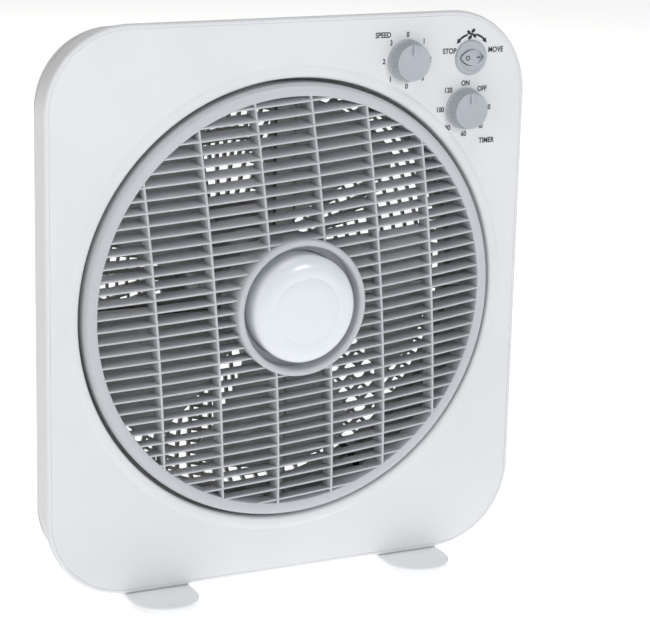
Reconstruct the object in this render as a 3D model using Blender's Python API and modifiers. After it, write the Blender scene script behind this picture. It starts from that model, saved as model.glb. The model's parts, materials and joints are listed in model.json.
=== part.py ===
# Table-top box fan: a square body with a slowly turning louvre wheel in front of
# the blades, a domed rear grille, two rotary controls, a rocker switch and two
# swivelling feet. Run in Blender 4.5. Units are metres, +Z is up, the fan blows
# towards -Y, and the origin is on the floor under the middle of the bounding box.

import math

import bmesh
import bpy
from mathutils import Matrix, Vector

# ---------------------------------------------------------------- dimensions
# Depths run back from the front panel's plane. Points on the front are given
# as (x, height) from the middle of the louvre opening.

CLEARANCE = 0.0003          # between pieces that sit against each other
CUT_PAST = 0.0100           # how far a cutter runs on past the face it opens
ROUND_SIDES = 48            # sides of the large round shapes
WALL = 0.0025               # moulded walls

# body
BODY_WIDTH = 0.3646
BODY_HEIGHT = 0.4020
BODY_CORNER = 0.0600
RIM_RADIUS = 0.0033         # rounded front edge of the body
FRONT_DEPTH = 0.0380        # from the panel to the seam between the covers
FRONT_DRAFT = math.radians(10)
TRAY_DEPTH = 0.0240         # straight part of the rear cover
SEAM_TRIM = 0.0060          # cut taken off the rear cover's edge to leave it flat
REAR_DRAFT = math.radians(21)

# louvre opening in the front cover
OPENING_RADIUS = 0.1592
BEAD_WIDTH = 0.0080         # raised lip round the opening
BEAD_HEIGHT = 0.0012
TUNNEL_DEPTH = 0.0300

# louvre wheel
WHEEL_GAP = 0.0030          # between the wheel and the opening
WHEEL_RING_WIDTH = 0.0092
WHEEL_RING_DEPTH = 0.0170
WHEEL_RING_FRONT = 0.0050   # ahead of the panel
WHEEL_DOME_RISE = 0.0120    # how much further forward the slats come at the middle
SLAT_COUNT = 34
SLAT_DEPTH = 0.0150
SLAT_THICKNESS = 0.0013
SLAT_FAN = math.radians(10)  # slope of the outermost slats
RIB_COUNT = 6
RIB_SPREAD = 0.7211         # outermost rib, as a share of the ring's inner radius
RIB_THICKNESS = 0.0016
RIB_SET_BACK = 0.0010       # the ribs' front edges behind the slats'
PIECE_BITE = 0.0012         # how far slats and ribs run into the ring
WHEEL_REST_TURN = math.radians(-4.5)
HUB_RADIUS = 0.0492
HUB_RING_WIDTH = 0.0050
HUB_FRONT = 0.0194
HUB_REAR = 0.0120
HUB_EDGE = 0.0018           # slope either side of the hub's front edge
COLLAR_WALL = 0.0040        # round the louvre shaft
COLLAR_LENGTH = 0.0080
CAP_RADIUS = 0.0387
CAP_FRONT = 0.0275
CAP_DISC_RADIUS = 0.0235

# louvre support and its gear motor
SUPPORT_FRONT = 0.0145
SUPPORT_ARM_DEPTH = 0.0100
SUPPORT_ARM_WIDTH = 0.0080
SUPPORT_WIRE_ARM_WIDTH = 0.0160
SUPPORT_HUB_RADIUS = 0.0340
SUPPORT_SCREW_STEP = 0.0078  # screws' centres outside the opening's edge
SUPPORT_DROP_WIDTH = 0.0060
LOUVRE_MOTOR_RADIUS = 0.0250
LOUVRE_MOTOR_LENGTH = 0.0140
LOUVRE_SHAFT_RADIUS = 0.0030
LOUVRE_SHAFT_LENGTH = 0.0235
SHAFT_IN_COLLAR = 0.0060

# blades
BLADE_COUNT = 5
BLADE_TIP_GAP = 0.0180      # from the tips to the grille's rim
BLADE_THICKNESS = 0.0020
BLADE_HALF_ANGLE = math.radians(24.5)
BLADE_AXIAL_REACH = 0.0140  # half the blade's depth along the axis
BLADE_SWEEP = math.radians(14)
BLADE_REST_TURN = math.radians(17)
BLADE_CROWN = 0.0020        # how far the blade bows forward between its edges
IMPELLER_HUB_RADIUS = 0.0380
IMPELLER_FRONT = 0.0400
IMPELLER_LENGTH = 0.0360
IMPELLER_COLLAR_WALL = 0.0050
IMPELLER_COLLAR_LENGTH = 0.0200
NUT_RADIUS = 0.0120
NUT_LENGTH = 0.0062
SHAFT_PAST_HUB = 0.0035     # threaded end that the nut turns on

# fan motor
MOTOR_RADIUS = 0.0420
MOTOR_GAP = 0.0025          # from the back of the blades' hub
SHIELD_DEPTH = 0.0125       # each end shield
SHIELD_EDGE = 0.0040
STATOR_LENGTH = 0.0120
STATOR_BORE = 0.0245
ROTOR_GAP = 0.0007
SHAFT_RADIUS = 0.0040
BEARING_RADIUS = 0.0077
BEARING_LENGTH = 0.0050
BEARING_SEAT_WALL = 0.0020
ROTOR_OVERHANG = 0.0010     # each end of the rotor past the stator
COIL_BORE = 0.0270
COIL_GAP = 0.0015           # from the shield's wall
COIL_LENGTH = 0.0062
MOTOR_SCREW_INSET = 0.0120  # from the motor's edge to the screws' centres
MOTOR_SCREW_COUNT = 3

# rear grille
GRILLE_STEP = 0.0012        # how much smaller it is than the louvre opening
GRILLE_FLANGE = 0.0070
GRILLE_RIM = 0.0050         # thickness of the rim that drops into the cover
GRILLE_RIM_DROP = 0.0060
GRILLE_RIM_RISE = 0.0015
GRILLE_RIB_COUNT = 12
GRILLE_RIB_THICKNESS = 0.0024
GRILLE_RIB_DEPTH = 0.0040
GRILLE_RING_SHARES = (0.557, 0.785)  # of the grille's radius
GRILLE_BEND_SHARES = (0.671, 0.899)
DISH_MARGIN = 0.0120        # round the motor
DISH_OVERLAP = 0.0020       # ribs into the dish
GRILLE_DISH_THICKNESS = 0.0030

# controls on the front panel
SPEED_KNOB_AT = (0.0860, 0.1672)
TIMER_KNOB_AT = (0.1336, 0.1306)
ROCKER_AT = (0.1370, 0.1673)
KNOB_RADIUS = 0.0130
KNOB_SKIRT_RADIUS = 0.0150
KNOB_SKIRT_HEIGHT = 0.0030
KNOB_HEIGHT = 0.0115
POINTER_WIDTH = 0.0022
POINTER_HEIGHT = 0.0012
POINTER_LENGTH = 0.0110
KNOB_EDGE = 0.0012
SPINDLE_ROOM = 0.0010       # round a spindle where it passes the panel
SPINDLE_RADIUS = 0.0030
SPINDLE_REACH = 0.0085      # each way from the panel's plane
SPEED_SWITCH_SIDE = 0.0300
SPEED_SWITCH_DEPTH = 0.0160
TIMER_RADIUS = 0.0200
TIMER_DEPTH = 0.0240
BEZEL_RADIUS = 0.0125
BEZEL_HEIGHT = 0.0022
BEZEL_BODY_RADIUS = 0.0118
BEZEL_BODY_DEPTH = 0.0180
BUTTON_WIDTH = 0.0166
BUTTON_HEIGHT = 0.0126
BUTTON_TILT = math.radians(10)
BUTTON_PIVOT_DEPTH = 0.0030
BUTTON_END_RISE = 0.0012    # top of the button at its ends, ahead of the panel
BUTTON_CROWN = 0.0016       # how much higher its middle stands
BUTTON_KEEL = 0.0075
BUTTON_KEEL_HALF = 0.0030
BUTTON_SIDE_DEPTH = 0.0020
WELL_DEPTH = 0.0140

# screws
SCREW_RADIUS = 0.0015
SCREW_HEAD_RADIUS = 0.0030
SCREW_HEAD_HEIGHT = 0.0020
SCREW_CROWN_SHARE = 0.7
BOSS_RADIUS = 0.0048
PILOT_SPARE = 0.0040        # a pilot hole's depth past its screw's point
COVER_SCREW_INSET = (0.0243, 0.0550)  # from the body's sides, top and bottom
COVER_SCREW_GRIP = 0.0100   # thread past the joint it holds
SUPPORT_SCREW_GRIP = 0.0080
GRILLE_SCREW_GRIP = 0.0080

# feet
FOOT_SPACING = 0.2000
FOOT_WIDTH = 0.0500
FOOT_THICKNESS = 0.0065
FOOT_FRONT_REACH = 0.0360   # ahead of the panel
FOOT_REAR_REACH = 0.1300    # behind the panel
FOOT_BOSS_RADIUS = 0.0110
FOOT_BOSS_STEP = 0.0007     # from the covers' seam to the boss
PIVOT_RADIUS = 0.0040
PIVOT_HEAD_RADIUS = 0.0080
PIVOT_GRIP = 0.0090         # pin's length inside the body's boss
PAD_RADIUS = 0.0090
PAD_STANDING = 0.0012       # how far a pad stands below its foot
PAD_SUNK = 0.0010
PAD_INSET = 0.0180          # pad's centre from the end of the foot

# loose parts inside
LEAD_RADIUS = 0.0022
GLAND_AT = (0.1400, -0.1620)
GLAND_RADIUS = 0.0060
GLAND_BORE = 0.0037
GLAND_FLANGE = 0.0022       # past the hole it sits in
GLAND_FLANGE_THICKNESS = 0.0025
GLAND_TAIL = 0.0120
GLAND_TAIL_TAPER = 0.0010
GLAND_INSIDE = 0.0050
TERMINALS_AT = (0.0950, -0.1740)
TERMINALS_SIZE = (0.0300, 0.0120, 0.0110)
CAPACITOR_AT = (-0.1100, 0.1720)
CAPACITOR_SIZE = (0.0360, 0.0130, 0.0180)

# ------------------------------------------------------------ derived places

AXIS_Z = BODY_HEIGHT / 2 + CLEARANCE + FOOT_THICKNESS + PAD_STANDING
PANEL_Y = (FOOT_FRONT_REACH - FOOT_REAR_REACH) / 2
TRAY_FRONT = FRONT_DEPTH + CLEARANCE
TRAY_REAR = FRONT_DEPTH + TRAY_DEPTH
RIM_FLARE = RIM_RADIUS * math.sin(FRONT_DRAFT)  # what the rounding takes off each side
FRONT_INSET = FRONT_DEPTH * math.tan(FRONT_DRAFT) - RIM_FLARE
TRAY_INSET = FRONT_INSET + TRAY_DEPTH * math.tan(REAR_DRAFT)
WHEEL_RADIUS = OPENING_RADIUS - WHEEL_GAP
WHEEL_INNER = WHEEL_RADIUS - WHEEL_RING_WIDTH
SLAT_PITCH = 2 * WHEEL_INNER / SLAT_COUNT
RIB_PITCH = 2 * RIB_SPREAD * WHEEL_INNER / (RIB_COUNT - 1)
HUB_INNER = HUB_RADIUS - HUB_RING_WIDTH
HUB_FLOOR = HUB_REAR - WALL
SUPPORT_REAR = SUPPORT_FRONT + SUPPORT_ARM_DEPTH
SUPPORT_SEAT = TUNNEL_DEPTH + CLEARANCE
SUPPORT_SCREW_CIRCLE = OPENING_RADIUS + SUPPORT_SCREW_STEP
MOTOR_FRONT = IMPELLER_FRONT + IMPELLER_LENGTH + MOTOR_GAP
STATOR_FRONT = MOTOR_FRONT + SHIELD_DEPTH + CLEARANCE
STATOR_REAR = STATOR_FRONT + STATOR_LENGTH
MOTOR_REAR = STATOR_REAR + CLEARANCE + SHIELD_DEPTH
DISH_FRONT = MOTOR_REAR + CLEARANCE
DISH_REAR = DISH_FRONT + GRILLE_DISH_THICKNESS
GRILLE_RADIUS = OPENING_RADIUS - GRILLE_STEP
GRILLE_DISH_RADIUS = MOTOR_RADIUS + DISH_MARGIN
GRILLE_RIB_START = GRILLE_DISH_RADIUS - DISH_OVERLAP
GRILLE_DOME_DEPTH = (DISH_REAR - TRAY_REAR) / math.sqrt(1 - (GRILLE_RIB_START / GRILLE_RADIUS) ** 2)
BLADE_TIP_RADIUS = GRILLE_RADIUS - BLADE_TIP_GAP
NUT_SEAT = IMPELLER_FRONT - CLEARANCE
SHAFT_TIP = IMPELLER_FRONT - SHAFT_PAST_HUB
FOOT_BASE = -BODY_HEIGHT / 2 - CLEARANCE - FOOT_THICKNESS
FOOT_PIVOT_DEPTH = TRAY_FRONT + FOOT_BOSS_STEP + FOOT_BOSS_RADIUS


def ring_places(count, radius, start=0.0):
    """(x, height) round the axis, clockwise from the top as seen in front."""
    angles = [start + i * math.tau / count for i in range(count)]
    return [(radius * math.sin(angle), radius * math.cos(angle)) for angle in angles]


COVER_SCREW_PLACES = [(side * (BODY_WIDTH / 2 - COVER_SCREW_INSET[0]),
                       up * (BODY_HEIGHT / 2 - COVER_SCREW_INSET[1]))
                      for side, up in ((-1, 1), (1, 1), (-1, -1), (1, -1))]
SUPPORT_SCREW_PLACES = ring_places(4, SUPPORT_SCREW_CIRCLE)
GRILLE_SCREW_PLACES = ring_places(4, GRILLE_RADIUS + GRILLE_FLANGE / 2, math.pi / 4)
MOTOR_SCREW_PLACES = ring_places(MOTOR_SCREW_COUNT, MOTOR_RADIUS - MOTOR_SCREW_INSET)


def at(x, depth, height):
    """World position of a point given from the middle of the louvre opening."""
    return Vector((x, PANEL_Y + depth, AXIS_Z + height))


# ------------------------------------------------------------------- helpers

def clear_scene():
    for old in list(bpy.data.objects):
        bpy.data.objects.remove(old, do_unlink=True)


def new_collection(name):
    group = bpy.data.collections.new(name)
    bpy.context.scene.collection.children.link(group)
    return group


def finish(name, colour, roughness, metallic=0.0):
    surface = bpy.data.materials.new(name)
    surface.use_nodes = True
    shader = surface.node_tree.nodes["Principled BSDF"]
    shader.inputs["Base Color"].default_value = (*colour, 1.0)
    shader.inputs["Roughness"].default_value = roughness
    shader.inputs["Metallic"].default_value = metallic
    return surface


def place(name, mesh, surface, location=(0, 0, 0), rotation=(0, 0, 0)):
    """Put a mesh in the scene: as a part if it has a material, else as a cutter."""
    thing = bpy.data.objects.new(name, mesh)
    thing.location = location
    thing.rotation_euler = rotation
    if surface is None:
        cutters.objects.link(thing)
        thing.hide_render = True
        thing.display_type = "WIRE"
    else:
        parts.objects.link(thing)
        mesh.materials.append(surface)
        mesh.shade_smooth()
        mesh.set_sharp_from_angle(angle=math.radians(35))
    return thing


def to_mesh(name, work):
    mesh = bpy.data.meshes.new(name)
    work.to_mesh(mesh)
    work.free()
    return mesh


def box(name, size, centre, surface=None, edge=0.0):
    """Box with its edges rounded by `edge`."""
    work = bmesh.new()
    bmesh.ops.create_cube(work, size=1.0, matrix=Matrix.Diagonal((*size, 1.0)))
    if edge:
        bmesh.ops.bevel(work, geom=work.edges[:], offset=edge, segments=1, affect="EDGES")
    return place(name, to_mesh(name, work), surface, centre)


def cylinder(name, radius, length, centre, surface=None, upright=False, segments=24):
    """Cylinder along the fan's axis, or upright, centred on a point."""
    work = bmesh.new()
    bmesh.ops.create_cone(work, cap_ends=True, segments=segments, radius1=radius, radius2=radius,
                          depth=length)
    rotation = (0, 0, 0) if upright else (math.pi / 2, 0, 0)
    return place(name, to_mesh(name, work), surface, centre, rotation)


def spun(name, points, surface, location, rotation=(0, 0, 0), ring=False, segments=32):
    """Solid of revolution about its own Z from (radius, rise) points."""
    mesh = bpy.data.meshes.new(name)
    edges = [(i, i + 1) for i in range(len(points) - 1)]
    if ring:
        edges.append((len(points) - 1, 0))
    mesh.from_pydata([(radius, 0.0, rise) for radius, rise in points], edges, [])
    thing = place(name, mesh, surface, location, rotation)
    turn = thing.modifiers.new("Turn", "SCREW")
    turn.steps = segments
    turn.render_steps = segments
    turn.use_merge_vertices = True
    turn.merge_threshold = 0.00001
    return thing


def turned(name, profile, surface=None, centre=(0, 0), ring=False, segments=32):
    """Solid of revolution about the fan's axis, or one parallel to it.

    The profile is (radius, depth) points from the front middle outwards, down
    the outer side and back in; a ring's profile closes on itself.
    """
    points = [(radius, -depth) for radius, depth in profile]
    return spun(name, points, surface, at(centre[0], 0.0, centre[1]), (math.pi / 2, 0, 0), ring,
                segments)


def outline(points, thickness):
    """Mesh of a flat outline in its own XY plane, extruded both ways."""
    curve = bpy.data.curves.new("outline", "CURVE")
    curve.dimensions = "2D"
    curve.fill_mode = "BOTH"
    curve.extrude = thickness / 2
    spline = curve.splines.new("POLY")
    spline.points.add(len(points) - 1)
    for point, (x, y) in zip(spline.points, points):
        point.co = (x, y, 0.0, 1.0)
    spline.use_cyclic_u = True
    return curve_mesh(curve, one_face=True)


def curve_mesh(curve, one_face=False):
    """Closed mesh of a curve, with its caps welded on and flat faces left whole."""
    holder = bpy.data.objects.new("holder", curve)
    bpy.context.scene.collection.objects.link(holder)
    seen = holder.evaluated_get(bpy.context.evaluated_depsgraph_get())
    mesh = bpy.data.meshes.new_from_object(seen)
    bpy.data.objects.remove(holder, do_unlink=True)
    work = bmesh.new()
    work.from_mesh(mesh)
    bmesh.ops.remove_doubles(work, verts=work.verts, dist=0.000001)
    if one_face:
        bmesh.ops.dissolve_limit(work, angle_limit=0.001, verts=work.verts, edges=work.edges)
    bmesh.ops.recalc_face_normals(work, faces=work.faces)
    work.to_mesh(mesh)
    work.free()
    mesh.materials.clear()
    return mesh


def gathered(name, pieces):
    """One mesh of several (mesh, matrix) pairs."""
    work = bmesh.new()
    for mesh, matrix in pieces:
        start = len(work.verts)
        work.from_mesh(mesh)
        bmesh.ops.transform(work, matrix=matrix, verts=list(work.verts)[start:])
    return to_mesh(name, work)


def combine(thing, other, operation):
    step = thing.modifiers.new(operation.title(), "BOOLEAN")
    step.operation = operation
    step.solver = "EXACT"
    step.object = other


def join(thing, *others):
    for other in others:
        combine(thing, other, "UNION")


def cut(thing, *others):
    for other in others:
        combine(thing, other, "DIFFERENCE")


def tube(name, points, radius, surface):
    """Round lead through the given world points, on a smooth line."""
    smooth = []
    for i in range(len(points) - 1):
        before = Vector(points[max(i - 1, 0)])
        start = Vector(points[i])
        end = Vector(points[i + 1])
        after = Vector(points[min(i + 2, len(points) - 1)])
        for step in range(3):
            t = step / 3
            smooth.append(0.5 * (2 * start + (end - before) * t
                                 + (2 * before - 5 * start + 4 * end - after) * t ** 2
                                 + (3 * start - before - 3 * end + after) * t ** 3))
    smooth.append(Vector(points[-1]))
    curve = bpy.data.curves.new(name, "CURVE")
    curve.dimensions = "3D"
    curve.bevel_depth = radius
    curve.bevel_resolution = 2
    curve.use_fill_caps = True
    spline = curve.splines.new("POLY")
    spline.points.add(len(smooth) - 1)
    for point, place_at in zip(spline.points, smooth):
        point.co = (*place_at, 1.0)
    return place(name, curve_mesh(curve), surface)


def tray(name, inset_front, inset_rear, front, rear, open_end, surface):
    """Rounded rectangular shell between two depths, drafted, open at one end."""
    half_width = BODY_WIDTH / 2
    half_height = BODY_HEIGHT / 2
    work = bmesh.new()
    size = (BODY_WIDTH, rear - front, BODY_HEIGHT)
    bmesh.ops.create_cube(work, size=1.0, matrix=Matrix.Diagonal((*size, 1.0)))
    along = [edge for edge in work.edges if edge.calc_length() < size[1] * 1.001
             and abs(edge.verts[0].co.y - edge.verts[1].co.y) > size[1] / 2]
    bmesh.ops.bevel(work, geom=along, offset=BODY_CORNER, segments=6, profile=0.5, affect="EDGES")
    for vert in work.verts:
        inset = inset_front if vert.co.y < 0 else inset_rear
        middle_x = math.copysign(half_width - BODY_CORNER, vert.co.x)
        middle_z = math.copysign(half_height - BODY_CORNER, vert.co.z)
        scale = (BODY_CORNER - inset) / BODY_CORNER
        vert.co.x = middle_x + (vert.co.x - middle_x) * scale
        vert.co.z = middle_z + (vert.co.z - middle_z) * scale
    work.faces.ensure_lookup_table()
    open_side = 1 if open_end == "rear" else -1
    lid = max(work.faces, key=lambda face: face.calc_center_median().y * open_side)
    bmesh.ops.delete(work, geom=[lid], context="FACES_ONLY")
    closed = max(work.faces, key=lambda face: face.calc_center_median().y * -open_side)
    bmesh.ops.bevel(work, geom=list(closed.edges), offset=RIM_RADIUS, segments=2, profile=0.5,
                    affect="EDGES")
    thing = place(name, to_mesh(name, work), surface, at(0, (front + rear) / 2, 0))
    wall = thing.modifiers.new("Wall", "SOLIDIFY")
    wall.thickness = WALL
    wall.offset = -1.0
    wall.use_even_offset = True
    return thing


def boss(name, x, height, front, rear, radius=BOSS_RADIUS):
    return cylinder(name, radius, rear - front, at(x, (front + rear) / 2, height), segments=10)


def pilot(name, x, height, front, rear, radius=SCREW_RADIUS + CLEARANCE):
    return cylinder(name, radius, rear - front, at(x, (front + rear) / 2, height), segments=8)


def screw(name, x, height, head_seat, tip, surface):
    """Pan-head screw whose head bears on `head_seat` and points to `tip`."""
    side = 1 if head_seat > tip else -1
    profile_end = head_seat + side * SCREW_HEAD_HEIGHT
    shank = [(SCREW_RADIUS, head_seat), (SCREW_RADIUS, tip), (0.0, tip)]
    head = [(0.0, profile_end), (SCREW_HEAD_RADIUS * SCREW_CROWN_SHARE, profile_end),
            (SCREW_HEAD_RADIUS, head_seat)]
    profile = head + shank
    if side > 0:
        profile.reverse()
    return turned(name, profile, surface, (x, height), segments=8)


# ------------------------------------------------------------------- covers

def make_front_cover(surface):
    cover = tray("front_cover", -RIM_FLARE, FRONT_INSET, 0.0, FRONT_DEPTH, "rear", surface)
    cut(cover, cylinder("opening_cut", OPENING_RADIUS + WALL / 2, 2 * CUT_PAST, at(0, 0, 0),
                        segments=ROUND_SIDES))
    outer = OPENING_RADIUS + WALL
    lip_back = WALL * 0.6
    lip = [(OPENING_RADIUS, WALL / 3), (OPENING_RADIUS + BEAD_HEIGHT, -BEAD_HEIGHT),
           (OPENING_RADIUS + BEAD_WIDTH / 2, -BEAD_HEIGHT), (OPENING_RADIUS + BEAD_WIDTH, WALL / 4),
           (OPENING_RADIUS + BEAD_WIDTH * 0.6, lip_back), (outer, lip_back), (outer, TUNNEL_DEPTH),
           (OPENING_RADIUS, TUNNEL_DEPTH)]
    join(cover, turned("opening_lip", lip, ring=True, segments=ROUND_SIDES))
    for i, (x, height) in enumerate(SUPPORT_SCREW_PLACES):
        join(cover, boss(f"support_boss_{i}", x, height, WALL / 2, TUNNEL_DEPTH))
        cut(cover, pilot(f"support_pilot_{i}", x, height,
                         TUNNEL_DEPTH - SUPPORT_SCREW_GRIP - PILOT_SPARE, TUNNEL_DEPTH + CUT_PAST))
    for i, (x, height) in enumerate(COVER_SCREW_PLACES):
        join(cover, boss(f"cover_boss_{i}", x, height, WALL / 2, FRONT_DEPTH))
        cut(cover, pilot(f"cover_pilot_{i}", x, height,
                         FRONT_DEPTH - COVER_SCREW_GRIP - PILOT_SPARE, FRONT_DEPTH + CUT_PAST))
    spindle_hole = SPINDLE_RADIUS + SPINDLE_ROOM
    for name, (x, height), radius in (("speed_hole", SPEED_KNOB_AT, spindle_hole),
                                      ("timer_hole", TIMER_KNOB_AT, spindle_hole),
                                      ("rocker_hole", ROCKER_AT, BEZEL_BODY_RADIUS + CLEARANCE)):
        cut(cover, cylinder(name, radius, 2 * CUT_PAST, at(x, 0, height)))
    return cover


def make_rear_cover(surface):
    cover = tray("rear_cover", FRONT_INSET, TRAY_INSET, TRAY_FRONT, TRAY_REAR, "front", surface)
    opening = cylinder("grille_opening", GRILLE_RADIUS + CLEARANCE, 2 * CUT_PAST, at(0, TRAY_REAR, 0),
                       segments=ROUND_SIDES)
    seam = box("seam_trim", (BODY_WIDTH, SEAM_TRIM, BODY_HEIGHT), at(0, TRAY_FRONT - SEAM_TRIM / 2, 0))
    cut(cover, opening, seam)
    for i, (x, height) in enumerate(COVER_SCREW_PLACES):
        join(cover, boss(f"rear_boss_{i}", x, height, TRAY_FRONT, TRAY_REAR - WALL / 2))
        cut(cover, pilot(f"rear_pilot_{i}", x, height, TRAY_FRONT - CUT_PAST, TRAY_REAR + CUT_PAST))
    for i, (x, height) in enumerate(GRILLE_SCREW_PLACES):
        cut(cover, pilot(f"grille_pilot_{i}", x, height, TRAY_REAR - CUT_PAST, TRAY_REAR + CUT_PAST))
    for side in (-1, 1):
        x = side * FOOT_SPACING / 2
        middle = (TRAY_INSET - BODY_HEIGHT) / 2
        join(cover, cylinder(f"foot_boss_{side}", FOOT_BOSS_RADIUS, TRAY_INSET,
                             at(x, FOOT_PIVOT_DEPTH, middle), upright=True))
        cut(cover, cylinder(f"foot_bore_{side}", PIVOT_RADIUS + CLEARANCE, 2 * CUT_PAST,
                            at(x, FOOT_PIVOT_DEPTH, -BODY_HEIGHT / 2), upright=True, segments=16))
    cut(cover, cylinder("gland_hole", GLAND_RADIUS + CLEARANCE, 2 * CUT_PAST,
                        at(GLAND_AT[0], TRAY_REAR, GLAND_AT[1])))
    return cover


def dome_depth(radius):
    """Outer surface of the rear grille."""
    return TRAY_REAR + GRILLE_DOME_DEPTH * math.sqrt(max(0.0, 1 - (radius / GRILLE_RADIUS) ** 2))


def make_rear_grille(surface):
    seat = TRAY_REAR + CLEARANCE
    rim_in = GRILLE_RADIUS - GRILLE_RIM
    rim_end = TRAY_REAR - GRILLE_RIM_DROP
    rim = [(rim_in, rim_end), (GRILLE_RADIUS, rim_end), (GRILLE_RADIUS, seat),
           (GRILLE_RADIUS + GRILLE_FLANGE, seat), (GRILLE_RADIUS + GRILLE_FLANGE, seat + WALL),
           (rim_in, seat + WALL + GRILLE_RIM_RISE)]
    grille = turned("rear_grille", rim, surface, ring=True, segments=ROUND_SIDES)
    stop = GRILLE_RADIUS - GRILLE_RIM / 2
    radii = [GRILLE_RIB_START, *(GRILLE_RADIUS * share for share in GRILLE_BEND_SHARES)]
    outer = [(radius, dome_depth(radius)) for radius in radii] + [(stop, TRAY_REAR)]
    inner = [(radius - GRILLE_RIB_DEPTH * 0.3 * i, depth - GRILLE_RIB_DEPTH)
             for i, (radius, depth) in enumerate(outer)]
    rib = outline(outer + inner[::-1], GRILLE_RIB_THICKNESS)
    flat_to_side = Matrix(((1, 0, 0), (0, 0, -1), (0, 1, 0))).to_4x4()
    side_to_depth = Matrix.Rotation(-math.pi / 2, 4, "X")
    ribs = []
    for i in range(GRILLE_RIB_COUNT):
        angle = (i + 0.5) * math.tau / GRILLE_RIB_COUNT
        ribs.append((rib, Matrix.Rotation(angle, 4, "Y") @ side_to_depth @ flat_to_side))
    join(grille, place("grille_ribs", gathered("grille_ribs", ribs), None, at(0, 0, 0)))
    half = GRILLE_RIB_THICKNESS / 2
    for i, share in enumerate(GRILLE_RING_SHARES):
        radius = GRILLE_RADIUS * share
        near = dome_depth(radius) - GRILLE_RIB_DEPTH * 0.8
        far = dome_depth(radius) - GRILLE_RIB_DEPTH * 0.2
        section = [(radius - half, near), (radius + half, near), (radius + half, far),
                   (radius - half, far)]
        join(grille, turned(f"grille_ring_{i}", section, ring=True, segments=36))
    dish = [(0.0, DISH_FRONT), (GRILLE_DISH_RADIUS, DISH_FRONT), (GRILLE_DISH_RADIUS, DISH_REAR),
            (0.0, DISH_REAR)]
    join(grille, turned("grille_dish", dish, segments=32))
    for i, (x, height) in enumerate(GRILLE_SCREW_PLACES):
        cut(grille, pilot(f"flange_hole_{i}", x, height, TRAY_REAR - CUT_PAST, TRAY_REAR + CUT_PAST))
    for i, (x, height) in enumerate(MOTOR_SCREW_PLACES):
        cut(grille, pilot(f"dish_hole_{i}", x, height, DISH_FRONT - CUT_PAST, DISH_REAR + CUT_PAST))
    return grille


# ------------------------------------------------------------ louvre and drive

def slat_front(radius):
    """Depth of the slats' domed front edge."""
    return -WHEEL_RING_FRONT - WHEEL_DOME_RISE * (1 - min(radius / WHEEL_INNER, 1.0) ** 2)


def slat_piece(height):
    """Slat across the wheel at a height, sloped more the further out it is."""
    reach = math.sqrt((WHEEL_INNER + PIECE_BITE) ** 2 - height ** 2)
    across = [reach * share for share in (-1.0, -0.5, 0.0, 0.5, 1.0)]
    front = [(x, slat_front(math.hypot(x, height))) for x in across]
    rear = [(x, depth + SLAT_DEPTH) for x, depth in reversed(front)]
    hinge = slat_front(abs(height))
    slope = SLAT_FAN * height / WHEEL_INNER
    turn = Matrix.Translation((0, hinge, height)) @ Matrix.Rotation(slope, 4, "X")
    return outline(front + rear, SLAT_THICKNESS), turn @ Matrix.Translation((0, -hinge, 0))


def rib_piece(x):
    """Upright rib that ties the slats together."""
    reach = math.sqrt((WHEEL_INNER + PIECE_BITE) ** 2 - x ** 2)
    along = [reach * share for share in (-1.0, -0.5, 0.0, 0.5, 1.0)]
    front = [(height, slat_front(math.hypot(x, height)) + RIB_SET_BACK) for height in along]
    rear = [(height, depth + SLAT_DEPTH - 2.5 * RIB_SET_BACK) for height, depth in reversed(front)]
    stand = Matrix(((0, 0, -1), (0, 1, 0), (1, 0, 0))).to_4x4()
    return outline(front + rear, RIB_THICKNESS), Matrix.Translation((x, 0, 0)) @ stand


def make_louvre_wheel(surface):
    heights = [(i - (SLAT_COUNT - 1) / 2) * SLAT_PITCH for i in range(SLAT_COUNT)]
    slats = gathered("louvre_wheel", [slat_piece(height) for height in heights])
    turn = (0, WHEEL_REST_TURN, 0)
    wheel = place("louvre_wheel", slats, surface, at(0, 0, 0), turn)
    offsets = [(i - (RIB_COUNT - 1) / 2) * RIB_PITCH for i in range(RIB_COUNT)]
    ribs = gathered("wheel_ribs", [rib_piece(x) for x in offsets])
    join(wheel, place("wheel_ribs", ribs, None, at(0, 0, 0), turn))
    cut(wheel, cylinder("hub_clearing", HUB_RADIUS - HUB_RING_WIDTH / 2, 2 * HUB_RADIUS,
                        at(0, 0, 0), segments=32))
    face = -WHEEL_RING_FRONT
    back = face + WHEEL_RING_DEPTH
    ring = [(WHEEL_INNER, face), (WHEEL_RADIUS - 0.0015, face + 0.0020), (WHEEL_RADIUS, face + 0.0040),
            (WHEEL_RADIUS, back - 0.0040), (WHEEL_INNER + 0.0022, back), (WHEEL_INNER, back)]
    join(wheel, turned("wheel_ring", ring, ring=True, segments=44))
    bore = LOUVRE_SHAFT_RADIUS + CLEARANCE
    collar = bore + COLLAR_WALL
    collar_front = HUB_FLOOR - COLLAR_LENGTH
    edge = -HUB_FRONT + HUB_EDGE
    hub = [(HUB_INNER, edge), (HUB_RADIUS - HUB_RING_WIDTH / 2, -HUB_FRONT), (HUB_RADIUS, edge),
           (HUB_RADIUS, HUB_REAR), (bore, HUB_REAR), (bore, collar_front), (collar, collar_front),
           (collar, HUB_FLOOR), (HUB_INNER, HUB_FLOOR)]
    join(wheel, turned("wheel_hub", hub, ring=True, segments=28))
    return wheel


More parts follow.
